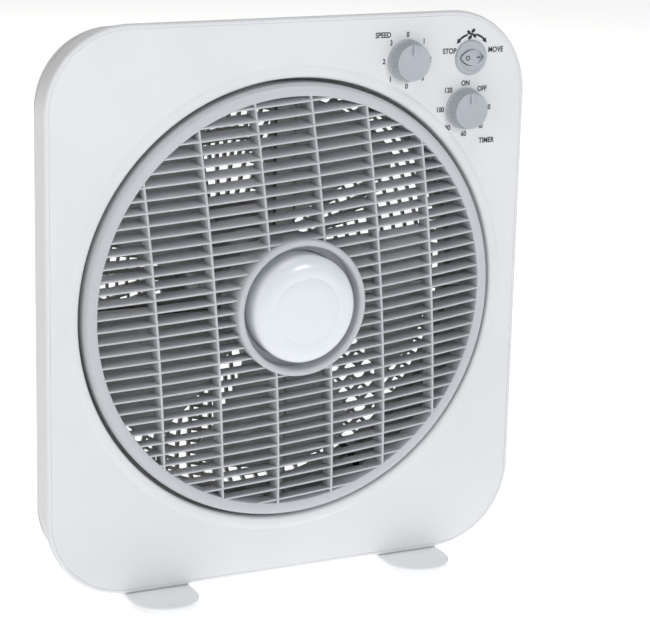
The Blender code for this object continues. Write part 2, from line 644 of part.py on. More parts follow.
def make_centre_cap(surface):
    floor = HUB_FLOOR - CLEARANCE
    front = -CAP_FRONT
    skirt = CAP_RADIUS - 0.0020
    shoulder = [(CAP_DISC_RADIUS, front + 0.0003), (CAP_DISC_RADIUS + 0.0008, front + 0.0011),
                (CAP_RADIUS * 0.90, front + 0.0028), (CAP_RADIUS * 0.97, front + 0.0048),
                (CAP_RADIUS, front + 0.0080)]
    inside = [(skirt, front + 0.0085), (CAP_RADIUS * 0.85, front + 0.0050), (0.0, front + WALL)]
    profile = [(0.0, front), *shoulder, (CAP_RADIUS, floor), (skirt, floor), *inside]
    return turned("centre_cap", profile, surface, segments=28)


def make_louvre_shaft(surface):
    front = HUB_FLOOR - SHAFT_IN_COLLAR
    rear = front + LOUVRE_SHAFT_LENGTH
    profile = [(0.0, front), (LOUVRE_SHAFT_RADIUS, front), (LOUVRE_SHAFT_RADIUS, rear), (0.0, rear)]
    return turned("louvre_shaft", profile, surface, segments=12)


def make_louvre_support(surface):
    bore = 2 * LOUVRE_SHAFT_RADIUS
    outer = SUPPORT_HUB_RADIUS
    web = SUPPORT_FRONT + WALL
    plate = [(bore, SUPPORT_FRONT), (outer, SUPPORT_FRONT), (outer, SUPPORT_REAR),
             (outer - WALL, SUPPORT_REAR), (outer - WALL, web), (bore, web)]
    support = turned("louvre_support", plate, surface, ring=True, segments=24)
    flat = OPENING_RADIUS * math.cos(math.pi / ROUND_SIDES)
    tip = math.sqrt(flat ** 2 - (SUPPORT_WIRE_ARM_WIDTH / 2) ** 2) - CLEARANCE
    drop = tip - SUPPORT_DROP_WIDTH
    tab = SUPPORT_SCREW_CIRCLE + BOSS_RADIUS
    root = outer - WALL / 2
    tab_back = SUPPORT_SEAT + WALL
    side = [(root, SUPPORT_FRONT), (tip, SUPPORT_FRONT), (tip, SUPPORT_SEAT), (tab, SUPPORT_SEAT),
            (tab, tab_back), (drop, tab_back), (drop, SUPPORT_REAR), (root, SUPPORT_REAR)]
    stand = Matrix(((0, 0, -1), (0, 1, 0), (1, 0, 0))).to_4x4()
    for i in range(4):
        width = SUPPORT_WIRE_ARM_WIDTH if i == 0 else SUPPORT_ARM_WIDTH
        arm = gathered(f"support_arm_{i}", [(outline(side, width), stand)])
        join(support, place(f"support_arm_{i}", arm, None, at(0, 0, 0), (0, i * math.pi / 2, 0)))
    for i, (x, height) in enumerate(SUPPORT_SCREW_PLACES):
        cut(support, pilot(f"tab_hole_{i}", x, height, SUPPORT_SEAT - WALL, tab_back + WALL))
    return support


def make_louvre_motor(surface):
    front = SUPPORT_FRONT + WALL + CLEARANCE
    rear = front + LOUVRE_MOTOR_LENGTH
    bore = LOUVRE_SHAFT_RADIUS + CLEARANCE
    edge = 0.0010
    profile = [(bore, front), (LOUVRE_MOTOR_RADIUS - edge, front), (LOUVRE_MOTOR_RADIUS, front + edge),
               (LOUVRE_MOTOR_RADIUS, rear - edge), (LOUVRE_MOTOR_RADIUS - edge, rear), (bore, rear)]
    return turned("louvre_motor", profile, surface, ring=True, segments=24)


# ---------------------------------------------------------- blades and motor

def make_impeller(surface):
    front = IMPELLER_FRONT
    rear = front + IMPELLER_LENGTH
    outer = IMPELLER_HUB_RADIUS
    bore = SHAFT_RADIUS + CLEARANCE
    collar = bore + IMPELLER_COLLAR_WALL
    collar_rear = front + IMPELLER_COLLAR_LENGTH
    hub = [(bore, front), (outer - 0.006, front), (outer, front + 0.005), (outer, rear),
           (outer - WALL, rear), (outer - WALL, front + WALL + 0.004), (collar, front + WALL),
           (collar, collar_rear), (bore, collar_rear)]
    impeller = turned("impeller", hub, surface, ring=True, segments=24)
    work = bmesh.new()
    bmesh.ops.create_grid(work, x_segments=3, y_segments=5, size=1.0)
    root = outer - WALL / 2
    middle = front + IMPELLER_LENGTH / 2
    for vert in work.verts:
        across = vert.co.x
        share = (vert.co.y + 1) / 2
        radius = root + share * (BLADE_TIP_RADIUS - root)
        angle = across * BLADE_HALF_ANGLE * (0.85 + 0.25 * share) + BLADE_SWEEP * share ** 1.5
        reach = BLADE_AXIAL_REACH * (1.05 - 0.35 * share)
        depth = middle + across * reach - BLADE_CROWN * (1 - across ** 2)
        vert.co = (radius * math.sin(angle), depth, radius * math.cos(angle))
    blade = to_mesh("blade", work)
    turns = [(blade, Matrix.Rotation(BLADE_REST_TURN + i * math.tau / BLADE_COUNT, 4, "Y"))
             for i in range(BLADE_COUNT)]
    blades = place("blades", gathered("blades", turns), None, at(0, 0, 0))
    sheet = blades.modifiers.new("Sheet", "SOLIDIFY")
    sheet.thickness = BLADE_THICKNESS
    sheet.offset = 0.0
    join(impeller, blades)
    return impeller


def make_shields(surface):
    """Cups at the two ends of the fan motor, each with a seat for a bearing."""
    bore = SHAFT_RADIUS + CLEARANCE
    pocket = BEARING_RADIUS + CLEARANCE
    seat_outer = pocket + BEARING_SEAT_WALL
    inner = MOTOR_RADIUS - WALL
    front = MOTOR_FRONT
    floor = front + WALL
    seat_end = floor + BEARING_LENGTH
    shield = [(bore, front), (MOTOR_RADIUS - SHIELD_EDGE, front), (MOTOR_RADIUS, front + 0.003),
              (MOTOR_RADIUS, front + SHIELD_DEPTH), (inner, front + SHIELD_DEPTH),
              (inner, floor + 0.001), (seat_outer, floor), (seat_outer, seat_end),
              (pocket, seat_end), (pocket, floor), (bore, floor)]
    turned("motor_front_shield", shield, surface, ring=True, segments=20)
    rear = MOTOR_REAR
    floor = rear - WALL
    seat_end = floor - BEARING_LENGTH
    cup = [(0.0, floor), (pocket, floor), (pocket, seat_end), (seat_outer, seat_end),
           (seat_outer, floor), (inner, floor - 0.001), (inner, rear - SHIELD_DEPTH),
           (MOTOR_RADIUS, rear - SHIELD_DEPTH), (MOTOR_RADIUS, rear - 0.003),
           (MOTOR_RADIUS - SHIELD_EDGE, rear), (0.0, rear)]
    back = turned("motor_rear_shield", cup, surface, segments=20)
    for i, (x, height) in enumerate(MOTOR_SCREW_PLACES):
        cut(back, pilot(f"shield_hole_{i}", x, height, floor - WALL, rear + WALL))


def make_sleeve(name, bore, radius, front, rear, surface, segments):
    """Plain ring: a bearing, a coil, the stator or the rotor."""
    section = [(bore, front), (radius, front), (radius, rear), (bore, rear)]
    return turned(name, section, surface, ring=True, segments=segments)


def make_fan_motor(casting, laminations, copper, steel):
    make_shields(casting)
    bore = SHAFT_RADIUS + CLEARANCE
    front_seat = MOTOR_FRONT + WALL + CLEARANCE
    rear_seat = MOTOR_REAR - WALL - CLEARANCE
    make_sleeve("front_bearing", bore, BEARING_RADIUS, front_seat, front_seat + BEARING_LENGTH, steel, 16)
    make_sleeve("rear_bearing", bore, BEARING_RADIUS, rear_seat - BEARING_LENGTH, rear_seat, steel, 16)
    make_sleeve("motor_stator", STATOR_BORE, MOTOR_RADIUS, STATOR_FRONT, STATOR_REAR, laminations, 20)
    coil_radius = MOTOR_RADIUS - WALL - COIL_GAP
    coil_front = STATOR_FRONT - CLEARANCE
    coil_rear = STATOR_REAR + CLEARANCE
    make_sleeve("front_coil", COIL_BORE, coil_radius, coil_front - COIL_LENGTH, coil_front, copper, 16)
    make_sleeve("rear_coil", COIL_BORE, coil_radius, coil_rear, coil_rear + COIL_LENGTH, copper, 16)
    make_sleeve("motor_rotor", bore, STATOR_BORE - ROTOR_GAP, STATOR_FRONT - ROTOR_OVERHANG,
                STATOR_REAR + ROTOR_OVERHANG, laminations, 20)


def make_shaft_and_nut(steel, plastic):
    tail = MOTOR_REAR - WALL - 2 * CLEARANCE
    shaft = [(0.0, SHAFT_TIP), (SHAFT_RADIUS, SHAFT_TIP), (SHAFT_RADIUS, tail), (0.0, tail)]
    turned("motor_shaft", shaft, steel, segments=16)
    bore = SHAFT_RADIUS + CLEARANCE
    floor = SHAFT_TIP - CLEARANCE
    nut_front = NUT_SEAT - NUT_LENGTH
    nut = [(0.0, nut_front), (NUT_RADIUS / 2, nut_front + 0.0004), (NUT_RADIUS - 0.001, NUT_SEAT - 0.0035),
           (NUT_RADIUS, NUT_SEAT), (bore, NUT_SEAT), (bore, floor), (0.0, floor)]
    turned("blade_nut", nut, plastic, segments=20)


# ------------------------------------------------------------------ controls

def make_knob(prefix, place_at, plastic, steel):
    """Round knob with a raised pointer, on its spindle."""
    x, height = place_at
    back = -2 * CLEARANCE
    face = -KNOB_HEIGHT
    bore = SPINDLE_RADIUS + CLEARANCE
    tip = -SPINDLE_REACH
    profile = [(0.0, face), (KNOB_RADIUS - KNOB_EDGE, face), (KNOB_RADIUS, face + KNOB_EDGE),
               (KNOB_RADIUS, -KNOB_SKIRT_HEIGHT - 0.0010), (KNOB_SKIRT_RADIUS, -KNOB_SKIRT_HEIGHT),
               (KNOB_SKIRT_RADIUS, back), (bore, back), (bore, tip - CLEARANCE), (0.0, tip - CLEARANCE)]
    knob = turned(f"{prefix}_knob", profile, plastic, place_at, segments=24)
    ridge = box(f"{prefix}_pointer", (POINTER_WIDTH, 2 * POINTER_HEIGHT, POINTER_LENGTH),
                at(x, face, height + POINTER_LENGTH / 2))
    join(knob, ridge)
    spindle = [(0.0, tip), (SPINDLE_RADIUS, tip), (SPINDLE_RADIUS, SPINDLE_REACH), (0.0, SPINDLE_REACH)]
    turned(f"{prefix}_spindle", spindle, steel, place_at, segments=12)


def make_switches(plastic, metal):
    seat = WALL + CLEARANCE
    bore = SPINDLE_RADIUS + CLEARANCE
    bore_end = SPINDLE_REACH + CLEARANCE
    x, height = SPEED_KNOB_AT
    switch = box("speed_switch", (SPEED_SWITCH_SIDE, SPEED_SWITCH_DEPTH, SPEED_SWITCH_SIDE),
                 at(x, seat + SPEED_SWITCH_DEPTH / 2, height), plastic, 0.001)
    cut(switch, pilot("speed_bore", x, height, 0.0, bore_end, bore))
    rear = seat + TIMER_DEPTH
    body = [(0.0, bore_end), (bore, bore_end), (bore, seat), (TIMER_RADIUS, seat), (TIMER_RADIUS, rear),
            (0.0, rear)]
    turned("timer_unit", body, metal, TIMER_KNOB_AT, segments=24)


def make_rocker(surface):
    x, height = ROCKER_AT
    edge = 0.0012
    profile = [(0.0, -BEZEL_HEIGHT), (BEZEL_RADIUS - edge, -BEZEL_HEIGHT),
               (BEZEL_RADIUS, -BEZEL_HEIGHT + edge), (BEZEL_RADIUS, -CLEARANCE),
               (BEZEL_BODY_RADIUS, -CLEARANCE), (BEZEL_BODY_RADIUS, BEZEL_BODY_DEPTH),
               (0.0, BEZEL_BODY_DEPTH)]
    bezel = turned("rocker_bezel", profile, surface, ROCKER_AT, segments=24)
    sweep = (BUTTON_PIVOT_DEPTH + BUTTON_END_RISE) * math.sin(BUTTON_TILT)
    well = (BUTTON_WIDTH + 2 * sweep + 2 * CLEARANCE, 2 * WELL_DEPTH, BUTTON_HEIGHT + 2 * CLEARANCE)
    cut(bezel, box("rocker_well", well, at(x, 0, height)))
    half = BUTTON_WIDTH / 2
    pivot = BUTTON_PIVOT_DEPTH
    ends = -BUTTON_END_RISE - pivot
    side = BUTTON_SIDE_DEPTH - pivot
    keel = BUTTON_KEEL - pivot
    top = [(half * share, ends - BUTTON_CROWN * (1 - share ** 2)) for share in (-1, -0.5, 0, 0.5, 1)]
    section = top + [(half, side), (BUTTON_KEEL_HALF, keel), (-BUTTON_KEEL_HALF, keel), (-half, side)]
    button = outline(section, BUTTON_HEIGHT)
    place("rocker_button", button, surface, at(x, pivot, height), (0, 0, BUTTON_TILT))


# ---------------------------------------------------------------------- feet

def make_foot(prefix, side, plastic, rubber, steel):
    """Flat foot with round ends, turning on an upright pivot under the body."""
    x = side * FOOT_SPACING / 2
    front = -FOOT_FRONT_REACH - FOOT_PIVOT_DEPTH
    rear = FOOT_REAR_REACH - FOOT_PIVOT_DEPTH
    work = bmesh.new()
    size = (FOOT_WIDTH, rear - front, FOOT_THICKNESS)
    middle = Matrix.Translation((0, (rear + front) / 2, FOOT_THICKNESS / 2))
    bmesh.ops.create_cube(work, size=1.0, matrix=middle @ Matrix.Diagonal((*size, 1.0)))
    upright = [edge for edge in work.edges
               if abs(edge.verts[0].co.z - edge.verts[1].co.z) > FOOT_THICKNESS / 2]
    bmesh.ops.bevel(work, geom=upright, offset=FOOT_WIDTH * 0.498, segments=5, profile=0.5,
                    affect="EDGES")
    foot = place(f"foot_{prefix}", to_mesh(f"foot_{prefix}", work), plastic,
                 at(x, FOOT_PIVOT_DEPTH, FOOT_BASE))
    head_room = FOOT_THICKNESS / 2
    cut(foot, cylinder(f"pivot_hole_{prefix}", PIVOT_RADIUS + CLEARANCE, 2 * CUT_PAST,
                       at(x, FOOT_PIVOT_DEPTH, FOOT_BASE), upright=True, segments=16),
        cylinder(f"head_pocket_{prefix}", PIVOT_HEAD_RADIUS + CLEARANCE, head_room * 2,
                 at(x, FOOT_PIVOT_DEPTH, FOOT_BASE), upright=True, segments=16))
    for name, depth in (("front", front + PAD_INSET), ("rear", rear - PAD_INSET)):
        where = at(x, FOOT_PIVOT_DEPTH + depth, FOOT_BASE)
        cut(foot, cylinder(f"pad_pocket_{prefix}_{name}", PAD_RADIUS + CLEARANCE, PAD_SUNK * 2, where,
                           upright=True, segments=16))
        tall = PAD_STANDING + PAD_SUNK - CLEARANCE
        middle = where + Vector((0, 0, tall / 2 - PAD_STANDING))
        cylinder(f"pad_{prefix}_{name}", PAD_RADIUS, tall, middle, rubber, upright=True, segments=16)
    head_top = head_room - CLEARANCE
    rise = FOOT_THICKNESS + CLEARANCE + PIVOT_GRIP
    pin = [(0.0, rise), (PIVOT_RADIUS, rise), (PIVOT_RADIUS, head_top), (PIVOT_HEAD_RADIUS, head_top),
           (PIVOT_HEAD_RADIUS, CLEARANCE), (0.0, CLEARANCE)]
    spun(f"foot_pivot_{prefix}", pin, steel, at(x, FOOT_PIVOT_DEPTH, FOOT_BASE), segments=16)


# ----------------------------------------------------- small parts and leads

def make_small_parts(plastic, dark, rubber):
    flange = TRAY_REAR + CLEARANCE
    inside = TRAY_REAR - WALL - GLAND_INSIDE
    lip = GLAND_RADIUS + GLAND_FLANGE
    gland = [(GLAND_BORE, inside), (GLAND_RADIUS, inside), (GLAND_RADIUS, flange), (lip, flange),
             (lip, flange + GLAND_FLANGE_THICKNESS),
             (GLAND_RADIUS - GLAND_TAIL_TAPER, flange + GLAND_TAIL), (GLAND_BORE, flange + GLAND_TAIL)]
    turned("cord_gland", gland, rubber, GLAND_AT, ring=True, segments=20)
    shelf = TRAY_REAR - WALL - CLEARANCE
    for name, (x, height), size, surface, edge in (
            ("terminal_block", TERMINALS_AT, TERMINALS_SIZE, plastic, 0.0008),
            ("run_capacitor", CAPACITOR_AT, CAPACITOR_SIZE, dark, 0.0012)):
        box(name, size, at(x, shelf - size[1] / 2, height), surface, edge)


def make_leads(rubber):
    x, height = TERMINALS_AT
    reach = math.hypot(x, height)
    terminal_edge = reach - TERMINALS_SIZE[2] / 2 - 0.0140
    stops = [(MOTOR_RADIUS + LEAD_RADIUS + CLEARANCE, STATOR_REAR + 0.0060)]
    # over the blade tips, then round the inside of the grille's rim
    for from_rim, past_tray in ((0.0580, 0.0340), (0.0220, 0.0160), (0.0110, 0.0020),
                                (0.0080, -0.0080), (0.0020, -0.0140)):
        stops.append((GRILLE_RADIUS - from_rim, TRAY_REAR + past_tray))
    stops.append((terminal_edge, TRAY_REAR - 0.0130))
    tube("motor_lead", [at(x / reach * r, depth, height / reach * r) for r, depth in stops],
         LEAD_RADIUS, rubber)
    along_arm = SUPPORT_REAR + LEAD_RADIUS + CLEARANCE + 0.0010
    behind_tab = SUPPORT_SEAT + WALL + LEAD_RADIUS + 2 * CLEARANCE
    switch_back = WALL + SPEED_SWITCH_DEPTH + LEAD_RADIUS + 0.0030
    bezel_back = BEZEL_BODY_DEPTH + LEAD_RADIUS + CLEARANCE
    switch_x, switch_height = SPEED_KNOB_AT
    edge = OPENING_RADIUS
    route = [(0.0, along_arm, LOUVRE_MOTOR_RADIUS + 0.0040), (0.0, along_arm, edge / 2),
             (0.0, along_arm + 0.0010, edge - 0.0392), (0.0, behind_tab - 0.0020, edge - 0.0172),
             (0.0010, behind_tab + 0.0010, edge - 0.0062), (0.0130, behind_tab + 0.0010, edge + 0.0068),
             (switch_x - 0.0360, switch_back + 0.0040, switch_height + 0.0108),
             (switch_x, switch_back, switch_height + 0.0088),
             (switch_x + 0.0320, switch_back, switch_height + 0.0028),
             (ROCKER_AT[0], bezel_back, ROCKER_AT[1])]
    tube("louvre_lead", [at(*stop) for stop in route], LEAD_RADIUS, rubber)


def make_screws(steel):
    seats = {
        "cover": (COVER_SCREW_PLACES, TRAY_REAR, FRONT_DEPTH - COVER_SCREW_GRIP),
        "support": (SUPPORT_SCREW_PLACES, SUPPORT_SEAT + WALL, TUNNEL_DEPTH - SUPPORT_SCREW_GRIP),
        "grille": (GRILLE_SCREW_PLACES, TRAY_REAR + WALL + GRILLE_RIM_RISE + CLEARANCE,
                   TRAY_REAR - GRILLE_SCREW_GRIP),
        "motor": (MOTOR_SCREW_PLACES, DISH_REAR, MOTOR_REAR - WALL),
    }
    for kind, (places, face, tip) in seats.items():
        for i, (x, height) in enumerate(places, 1):
            screw(f"{kind}_screw_{i}", x, height, face + CLEARANCE, tip, steel)


# --------------------------------------------------------------------- build

clear_scene()
parts = new_collection("box_fan")
cutters = new_collection("cutters")

white = finish("body_white", (0.80, 0.82, 0.85), 0.38)
grey = finish("louvre_grey", (0.44, 0.47, 0.52), 0.42)
pale = finish("knob_grey", (0.62, 0.64, 0.68), 0.40)
clear_grey = finish("blade_grey", (0.55, 0.58, 0.60), 0.30)
inner_grey = finish("inner_grey", (0.30, 0.30, 0.29), 0.55)
black = finish("black_plastic", (0.03, 0.03, 0.03), 0.50)
cast = finish("cast_alloy", (0.55, 0.55, 0.56), 0.45, 0.9)
iron = finish("laminated_steel", (0.30, 0.31, 0.33), 0.40, 0.9)
wire = finish("enamelled_copper", (0.60, 0.28, 0.12), 0.35, 0.8)
bright = finish("bright_steel", (0.70, 0.70, 0.72), 0.25, 1.0)
soft = finish("pad_rubber", (0.12, 0.12, 0.12), 0.80)

make_front_cover(white)
make_rear_cover(white)
make_rear_grille(white)
make_louvre_wheel(grey)
make_centre_cap(white)
make_louvre_shaft(bright)
make_louvre_support(inner_grey)
make_louvre_motor(cast)
make_impeller(clear_grey)
make_fan_motor(cast, iron, wire, bright)
make_shaft_and_nut(bright, black)
make_knob("speed", SPEED_KNOB_AT, pale, bright)
make_knob("timer", TIMER_KNOB_AT, pale, bright)
make_switches(black, cast)
make_rocker(pale)
make_foot("left", -1, white, soft, bright)
make_foot("right", 1, white, soft, bright)
make_small_parts(pale, black, soft)
make_leads(soft)
make_screws(bright)
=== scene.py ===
import json
import math

import bmesh
import bpy
from mathutils import Matrix, Vector


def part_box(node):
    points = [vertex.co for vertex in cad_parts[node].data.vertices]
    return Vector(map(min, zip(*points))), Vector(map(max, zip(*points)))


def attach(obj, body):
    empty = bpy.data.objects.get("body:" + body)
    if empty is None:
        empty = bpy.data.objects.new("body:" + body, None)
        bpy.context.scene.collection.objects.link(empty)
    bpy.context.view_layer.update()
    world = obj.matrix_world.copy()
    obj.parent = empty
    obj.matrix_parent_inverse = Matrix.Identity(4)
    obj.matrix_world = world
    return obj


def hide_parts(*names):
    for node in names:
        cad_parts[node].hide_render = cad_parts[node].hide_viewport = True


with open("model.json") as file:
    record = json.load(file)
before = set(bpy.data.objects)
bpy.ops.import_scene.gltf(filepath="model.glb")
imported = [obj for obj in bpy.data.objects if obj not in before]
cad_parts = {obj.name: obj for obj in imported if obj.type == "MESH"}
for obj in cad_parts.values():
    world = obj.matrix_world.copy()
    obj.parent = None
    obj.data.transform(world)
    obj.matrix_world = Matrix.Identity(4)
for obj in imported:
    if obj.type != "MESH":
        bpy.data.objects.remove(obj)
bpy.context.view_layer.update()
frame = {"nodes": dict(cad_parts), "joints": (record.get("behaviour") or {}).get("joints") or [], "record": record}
print("frame loaded")

# the wheel, the blades and the dome share one axis, which runs front to back
louvreJoint = next(joint for joint in frame["joints"] if joint["name"] == "louvre_spin")
axisPoint = Vector(louvreJoint["pos_m"])
gap = 0.0003     # left between pieces that sit against each other
wall = 0.0025    # moulded walls
screwHole = 0.0018


def place(x, depth, height):
    # depth runs back from the front panel, x and height from the middle of the louvre
    return axisPoint + Vector((x, depth, height))


def middleOf(node):
    # middle of a CAD node, measured the way place() takes it
    low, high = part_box(node)
    return (low + high) / 2 - axisPoint


def turnBy(angle):
    # a turn round the axis, clockwise as seen from the front
    axis = Matrix.Translation(axisPoint)
    return axis @ Matrix.Rotation(angle, 4, "Y") @ axis.inverted()


def ready():
    # leave edit mode with nothing selected, so the next tool acts on its own piece only
    if bpy.context.object and bpy.context.object.mode == "EDIT":
        bpy.ops.object.mode_set(mode="OBJECT")
    bpy.ops.object.select_all(action="DESELECT")


def choose(piece):
    ready()
    piece.select_set(True)
    bpy.context.view_layer.objects.active = piece


def settle(piece):
    # the place goes into the mesh and the object stays at the origin
    choose(piece)
    bpy.ops.object.transform_apply(location=True, rotation=True, scale=True)
    return piece


def named(name):
    piece = bpy.context.object
    piece.name = name
    piece.data.name = name
    return settle(piece)


def edit(piece):
    choose(piece)
    bpy.ops.object.mode_set(mode="EDIT")
    bpy.ops.mesh.select_mode(type="VERT")
    bpy.ops.mesh.select_all(action="DESELECT")


def pick(piece, kind, test):
    # in edit mode, select only the faces, edges or verts that pass the test
    bpy.ops.mesh.select_mode(type={"faces": "FACE", "edges": "EDGE", "verts": "VERT"}[kind])
    bpy.ops.mesh.select_all(action="DESELECT")
    work = bmesh.from_edit_mesh(piece.data)
    for part in getattr(work, kind):
        if test(part):
            part.select_set(True)
    work.select_flush_mode()
    bmesh.update_edit_mesh(piece.data)


def modify(piece, kind, **values):
    choose(piece)
    step = piece.modifiers.new(kind.title(), kind)
    for key, value in values.items():
        setattr(step, key, value)
    bpy.ops.object.modifier_apply(modifier=step.name)
    return piece


def carve(piece, *cutters, operation="DIFFERENCE"):
    for cutter in cutters:
        modify(piece, "BOOLEAN", object=cutter, operation=operation, solver="EXACT")
        bpy.data.objects.remove(cutter, do_unlink=True)
    return piece


def merge(name, pieces):
    ready()
    for piece in pieces:
        piece.select_set(True)
    bpy.context.view_layer.objects.active = pieces[0]
    bpy.ops.object.join()
    return named(name)


def copyOf(piece, name, matrix):
    twin = piece.copy()
    twin.data = piece.data.copy()
    twin.name = name
    twin.data.name = name
    twin.data.transform(matrix)
    bpy.context.scene.collection.objects.link(twin)
    return twin


def smooth(piece, angle=32):
    choose(piece)
    bpy.ops.object.shade_smooth_by_angle(angle=math.radians(angle))
    return piece


def soften(piece, width, segments=2, angle=30):
    return modify(piece, "BEVEL", width=width, segments=segments, limit_method="ANGLE",
                  angle_limit=math.radians(angle), harden_normals=False)


def show(piece, mover, slot, material, *nodes):
    piece.data.materials.clear()
    piece.data.materials.append(material)
    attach(piece, mover)
    if nodes:
        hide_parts(*nodes)
    return piece


def turned(name, profile, sides=96, centre=(0.0, 0.0), closed=False):
    # a profile of (radius, depth) points, drawn point by point and spun round the axis
    x, height = centre
    radius, depth = profile[0]
    ready()
    bpy.ops.mesh.primitive_plane_add(size=0.001, location=place(x + radius, depth, height))
    piece = named(name)
    edit(piece)
    bpy.ops.mesh.select_all(action="SELECT")
    bpy.ops.mesh.merge(type="CENTER")
    points = list(profile[1:]) + ([profile[0]] if closed else [])
    for nextRadius, nextDepth in points:
        step = (nextRadius - radius, nextDepth - depth, 0)
        bpy.ops.mesh.extrude_region_move(TRANSFORM_OT_translate={"value": step})
        radius, depth = nextRadius, nextDepth
    bpy.ops.mesh.select_all(action="SELECT")
    bpy.ops.mesh.remove_doubles(threshold=0.000001)
    bpy.ops.mesh.select_all(action="SELECT")
    bpy.ops.mesh.spin(steps=sides, angle=math.tau, center=place(x, 0, height), axis=(0, 1, 0))
    bpy.ops.mesh.select_all(action="SELECT")
    bpy.ops.mesh.remove_doubles(threshold=0.000002)
    bpy.ops.mesh.normals_make_consistent(inside=False)
    bpy.ops.object.mode_set(mode="OBJECT")
    return piece


def drum(name, radius, front, rear, x=0.0, height=0.0, sides=64):
    # plain round cutter along the axis
    ready()
    bpy.ops.mesh.primitive_cylinder_add(vertices=sides, radius=radius, depth=rear - front,
                                        location=place(x, (front + rear) / 2, height),
                                        rotation=(math.pi / 2, 0, 0))
    return named(name)


def holeAt(node, radius, front, rear, sides=24):
    # round cutter through the middle of a CAD node
    middle = middleOf(node)
    return drum(f"{node}Cutter", radius, front, rear, middle.x, middle.z, sides)


def pillar(name, radius, length, centre, sides=48):
    # upright round block
    ready()
    bpy.ops.mesh.primitive_cylinder_add(vertices=sides, radius=radius, depth=length, location=centre)
    return named(name)


def brick(name, size, centre):
    ready()
    bpy.ops.mesh.primitive_cube_add(size=1, location=centre, scale=size)
    return named(name)


def shape(piece, rule):
    # move every point of a finished flat sheet to its place on the curved form
    for vert in piece.data.vertices:
        vert.co = rule(vert.co)
    return piece


def sheet(name, alongCount, acrossCount):
    # flat grid from -1 to 1 each way, to be shaped and given a thickness
    ready()
    bpy.ops.mesh.primitive_grid_add(x_subdivisions=alongCount, y_subdivisions=acrossCount, size=2)
    return named(name)


def arc(count, start, end):
    return [math.radians(start + (end - start) * i / count) for i in range(count + 1)]


def noiseFrom(tree, source, scale, detail):
    noise = tree.nodes.new("ShaderNodeTexNoise")
    noise.inputs["Scale"].default_value = scale
    noise.inputs["Detail"].default_value = detail
    tree.links.new(source, noise.inputs["Vector"])
    return noise.outputs["Fac"]


def toneFrom(tree, source, colour, dark, light, low=0.0, high=1.0):
    tone = tree.nodes.new("ShaderNodeValToRGB")
    first, last = tone.color_ramp.elements
    first.position = low
    last.position = high
    first.color = (*(share * dark for share in colour), 1)
    last.color = (*(min(share * light, 1) for share in colour), 1)
    tree.links.new(source, tone.inputs["Fac"])
    tree.links.new(tone.outputs["Color"], tree.nodes["Principled BSDF"].inputs["Base Color"])


def roughFrom(tree, source, low, high):
    rough = tree.nodes.new("ShaderNodeMapRange")
    rough.inputs["To Min"].default_value = low
    rough.inputs["To Max"].default_value = high
    tree.links.new(source, rough.inputs["Value"])
    tree.links.new(rough.outputs["Result"], tree.nodes["Principled BSDF"].inputs["Roughness"])


def bumpFrom(tree, source, strength):
    bump = tree.nodes.new("ShaderNodeBump")
    bump.inputs["Strength"].default_value = strength
    bump.inputs["Distance"].default_value = 0.0002
    tree.links.new(source, bump.inputs["Height"])
    tree.links.new(bump.outputs["Normal"], tree.nodes["Principled BSDF"].inputs["Normal"])


def plastic(name, colour, roughness, grain=0.06, drift=0.035, coat=0.0, alpha=1.0):
    # moulded plastic: faint drift of tone and sheen, and a fine spark-eroded grain
    material = bpy.data.materials.new(name)
    material.use_nodes = True
    tree = material.node_tree
    shader = tree.nodes["Principled BSDF"]
    shader.inputs["Coat Weight"].default_value = coat
    shader.inputs["Alpha"].default_value = alpha
    spot = tree.nodes.new("ShaderNodeTexCoord").outputs["Object"]
    broad = noiseFrom(tree, spot, 9.0, 3.0)
    toneFrom(tree, broad, colour, 1 - drift, 1 + drift, 0.3, 0.7)
    roughFrom(tree, broad, roughness * 0.85, roughness * 1.15)
    bumpFrom(tree, noiseFrom(tree, spot, 1400.0, 2.0), grain)
    return material


def metal(name, colour, roughness, stretch=(1, 1, 1), grain=0.15):
    # metal with fine marks that run along one direction, or cast when not stretched
    material = bpy.data.materials.new(name)
    material.use_nodes = True
    tree = material.node_tree
    tree.nodes["Principled BSDF"].inputs["Metallic"].default_value = 1.0
    spot = tree.nodes.new("ShaderNodeTexCoord").outputs["Object"]
    turn = tree.nodes.new("ShaderNodeMapping")
    turn.inputs["Scale"].default_value = stretch
    tree.links.new(spot, turn.inputs["Vector"])
    marks = noiseFrom(tree, turn.outputs["Vector"], 420.0, 5.0)
    toneFrom(tree, marks, colour, 0.82, 1.12)
    roughFrom(tree, marks, roughness * 0.7, roughness * 1.3)
    bumpFrom(tree, marks, grain)
    return material


bodyWhite = plastic("bodyWhite", (0.78, 0.785, 0.80), 0.46)
# the feet are body plastic, painted lighter than the body's white: painted light on their tops
footWhite = plastic("footWhite", (0.95, 0.955, 0.965), 0.36)
capWhite = plastic("capWhite", (0.80, 0.83, 0.87), 0.20, grain=0.015, coat=0.25)
louvreGrey = plastic("louvreGrey", (0.56, 0.575, 0.60), 0.38)
knobGrey = plastic("knobGrey", (0.44, 0.475, 0.51), 0.38)
# the grille's own beige grey, painted darker as its bars look in shade: partly painted shade
grilleGrey = plastic("grilleGrey", (0.40, 0.395, 0.385), 0.45)
# the support's white plastic, painted dark grey for the shade it sits in behind the wheel: painted shade
supportGrey = plastic("supportGrey", (0.38, 0.375, 0.36), 0.50)
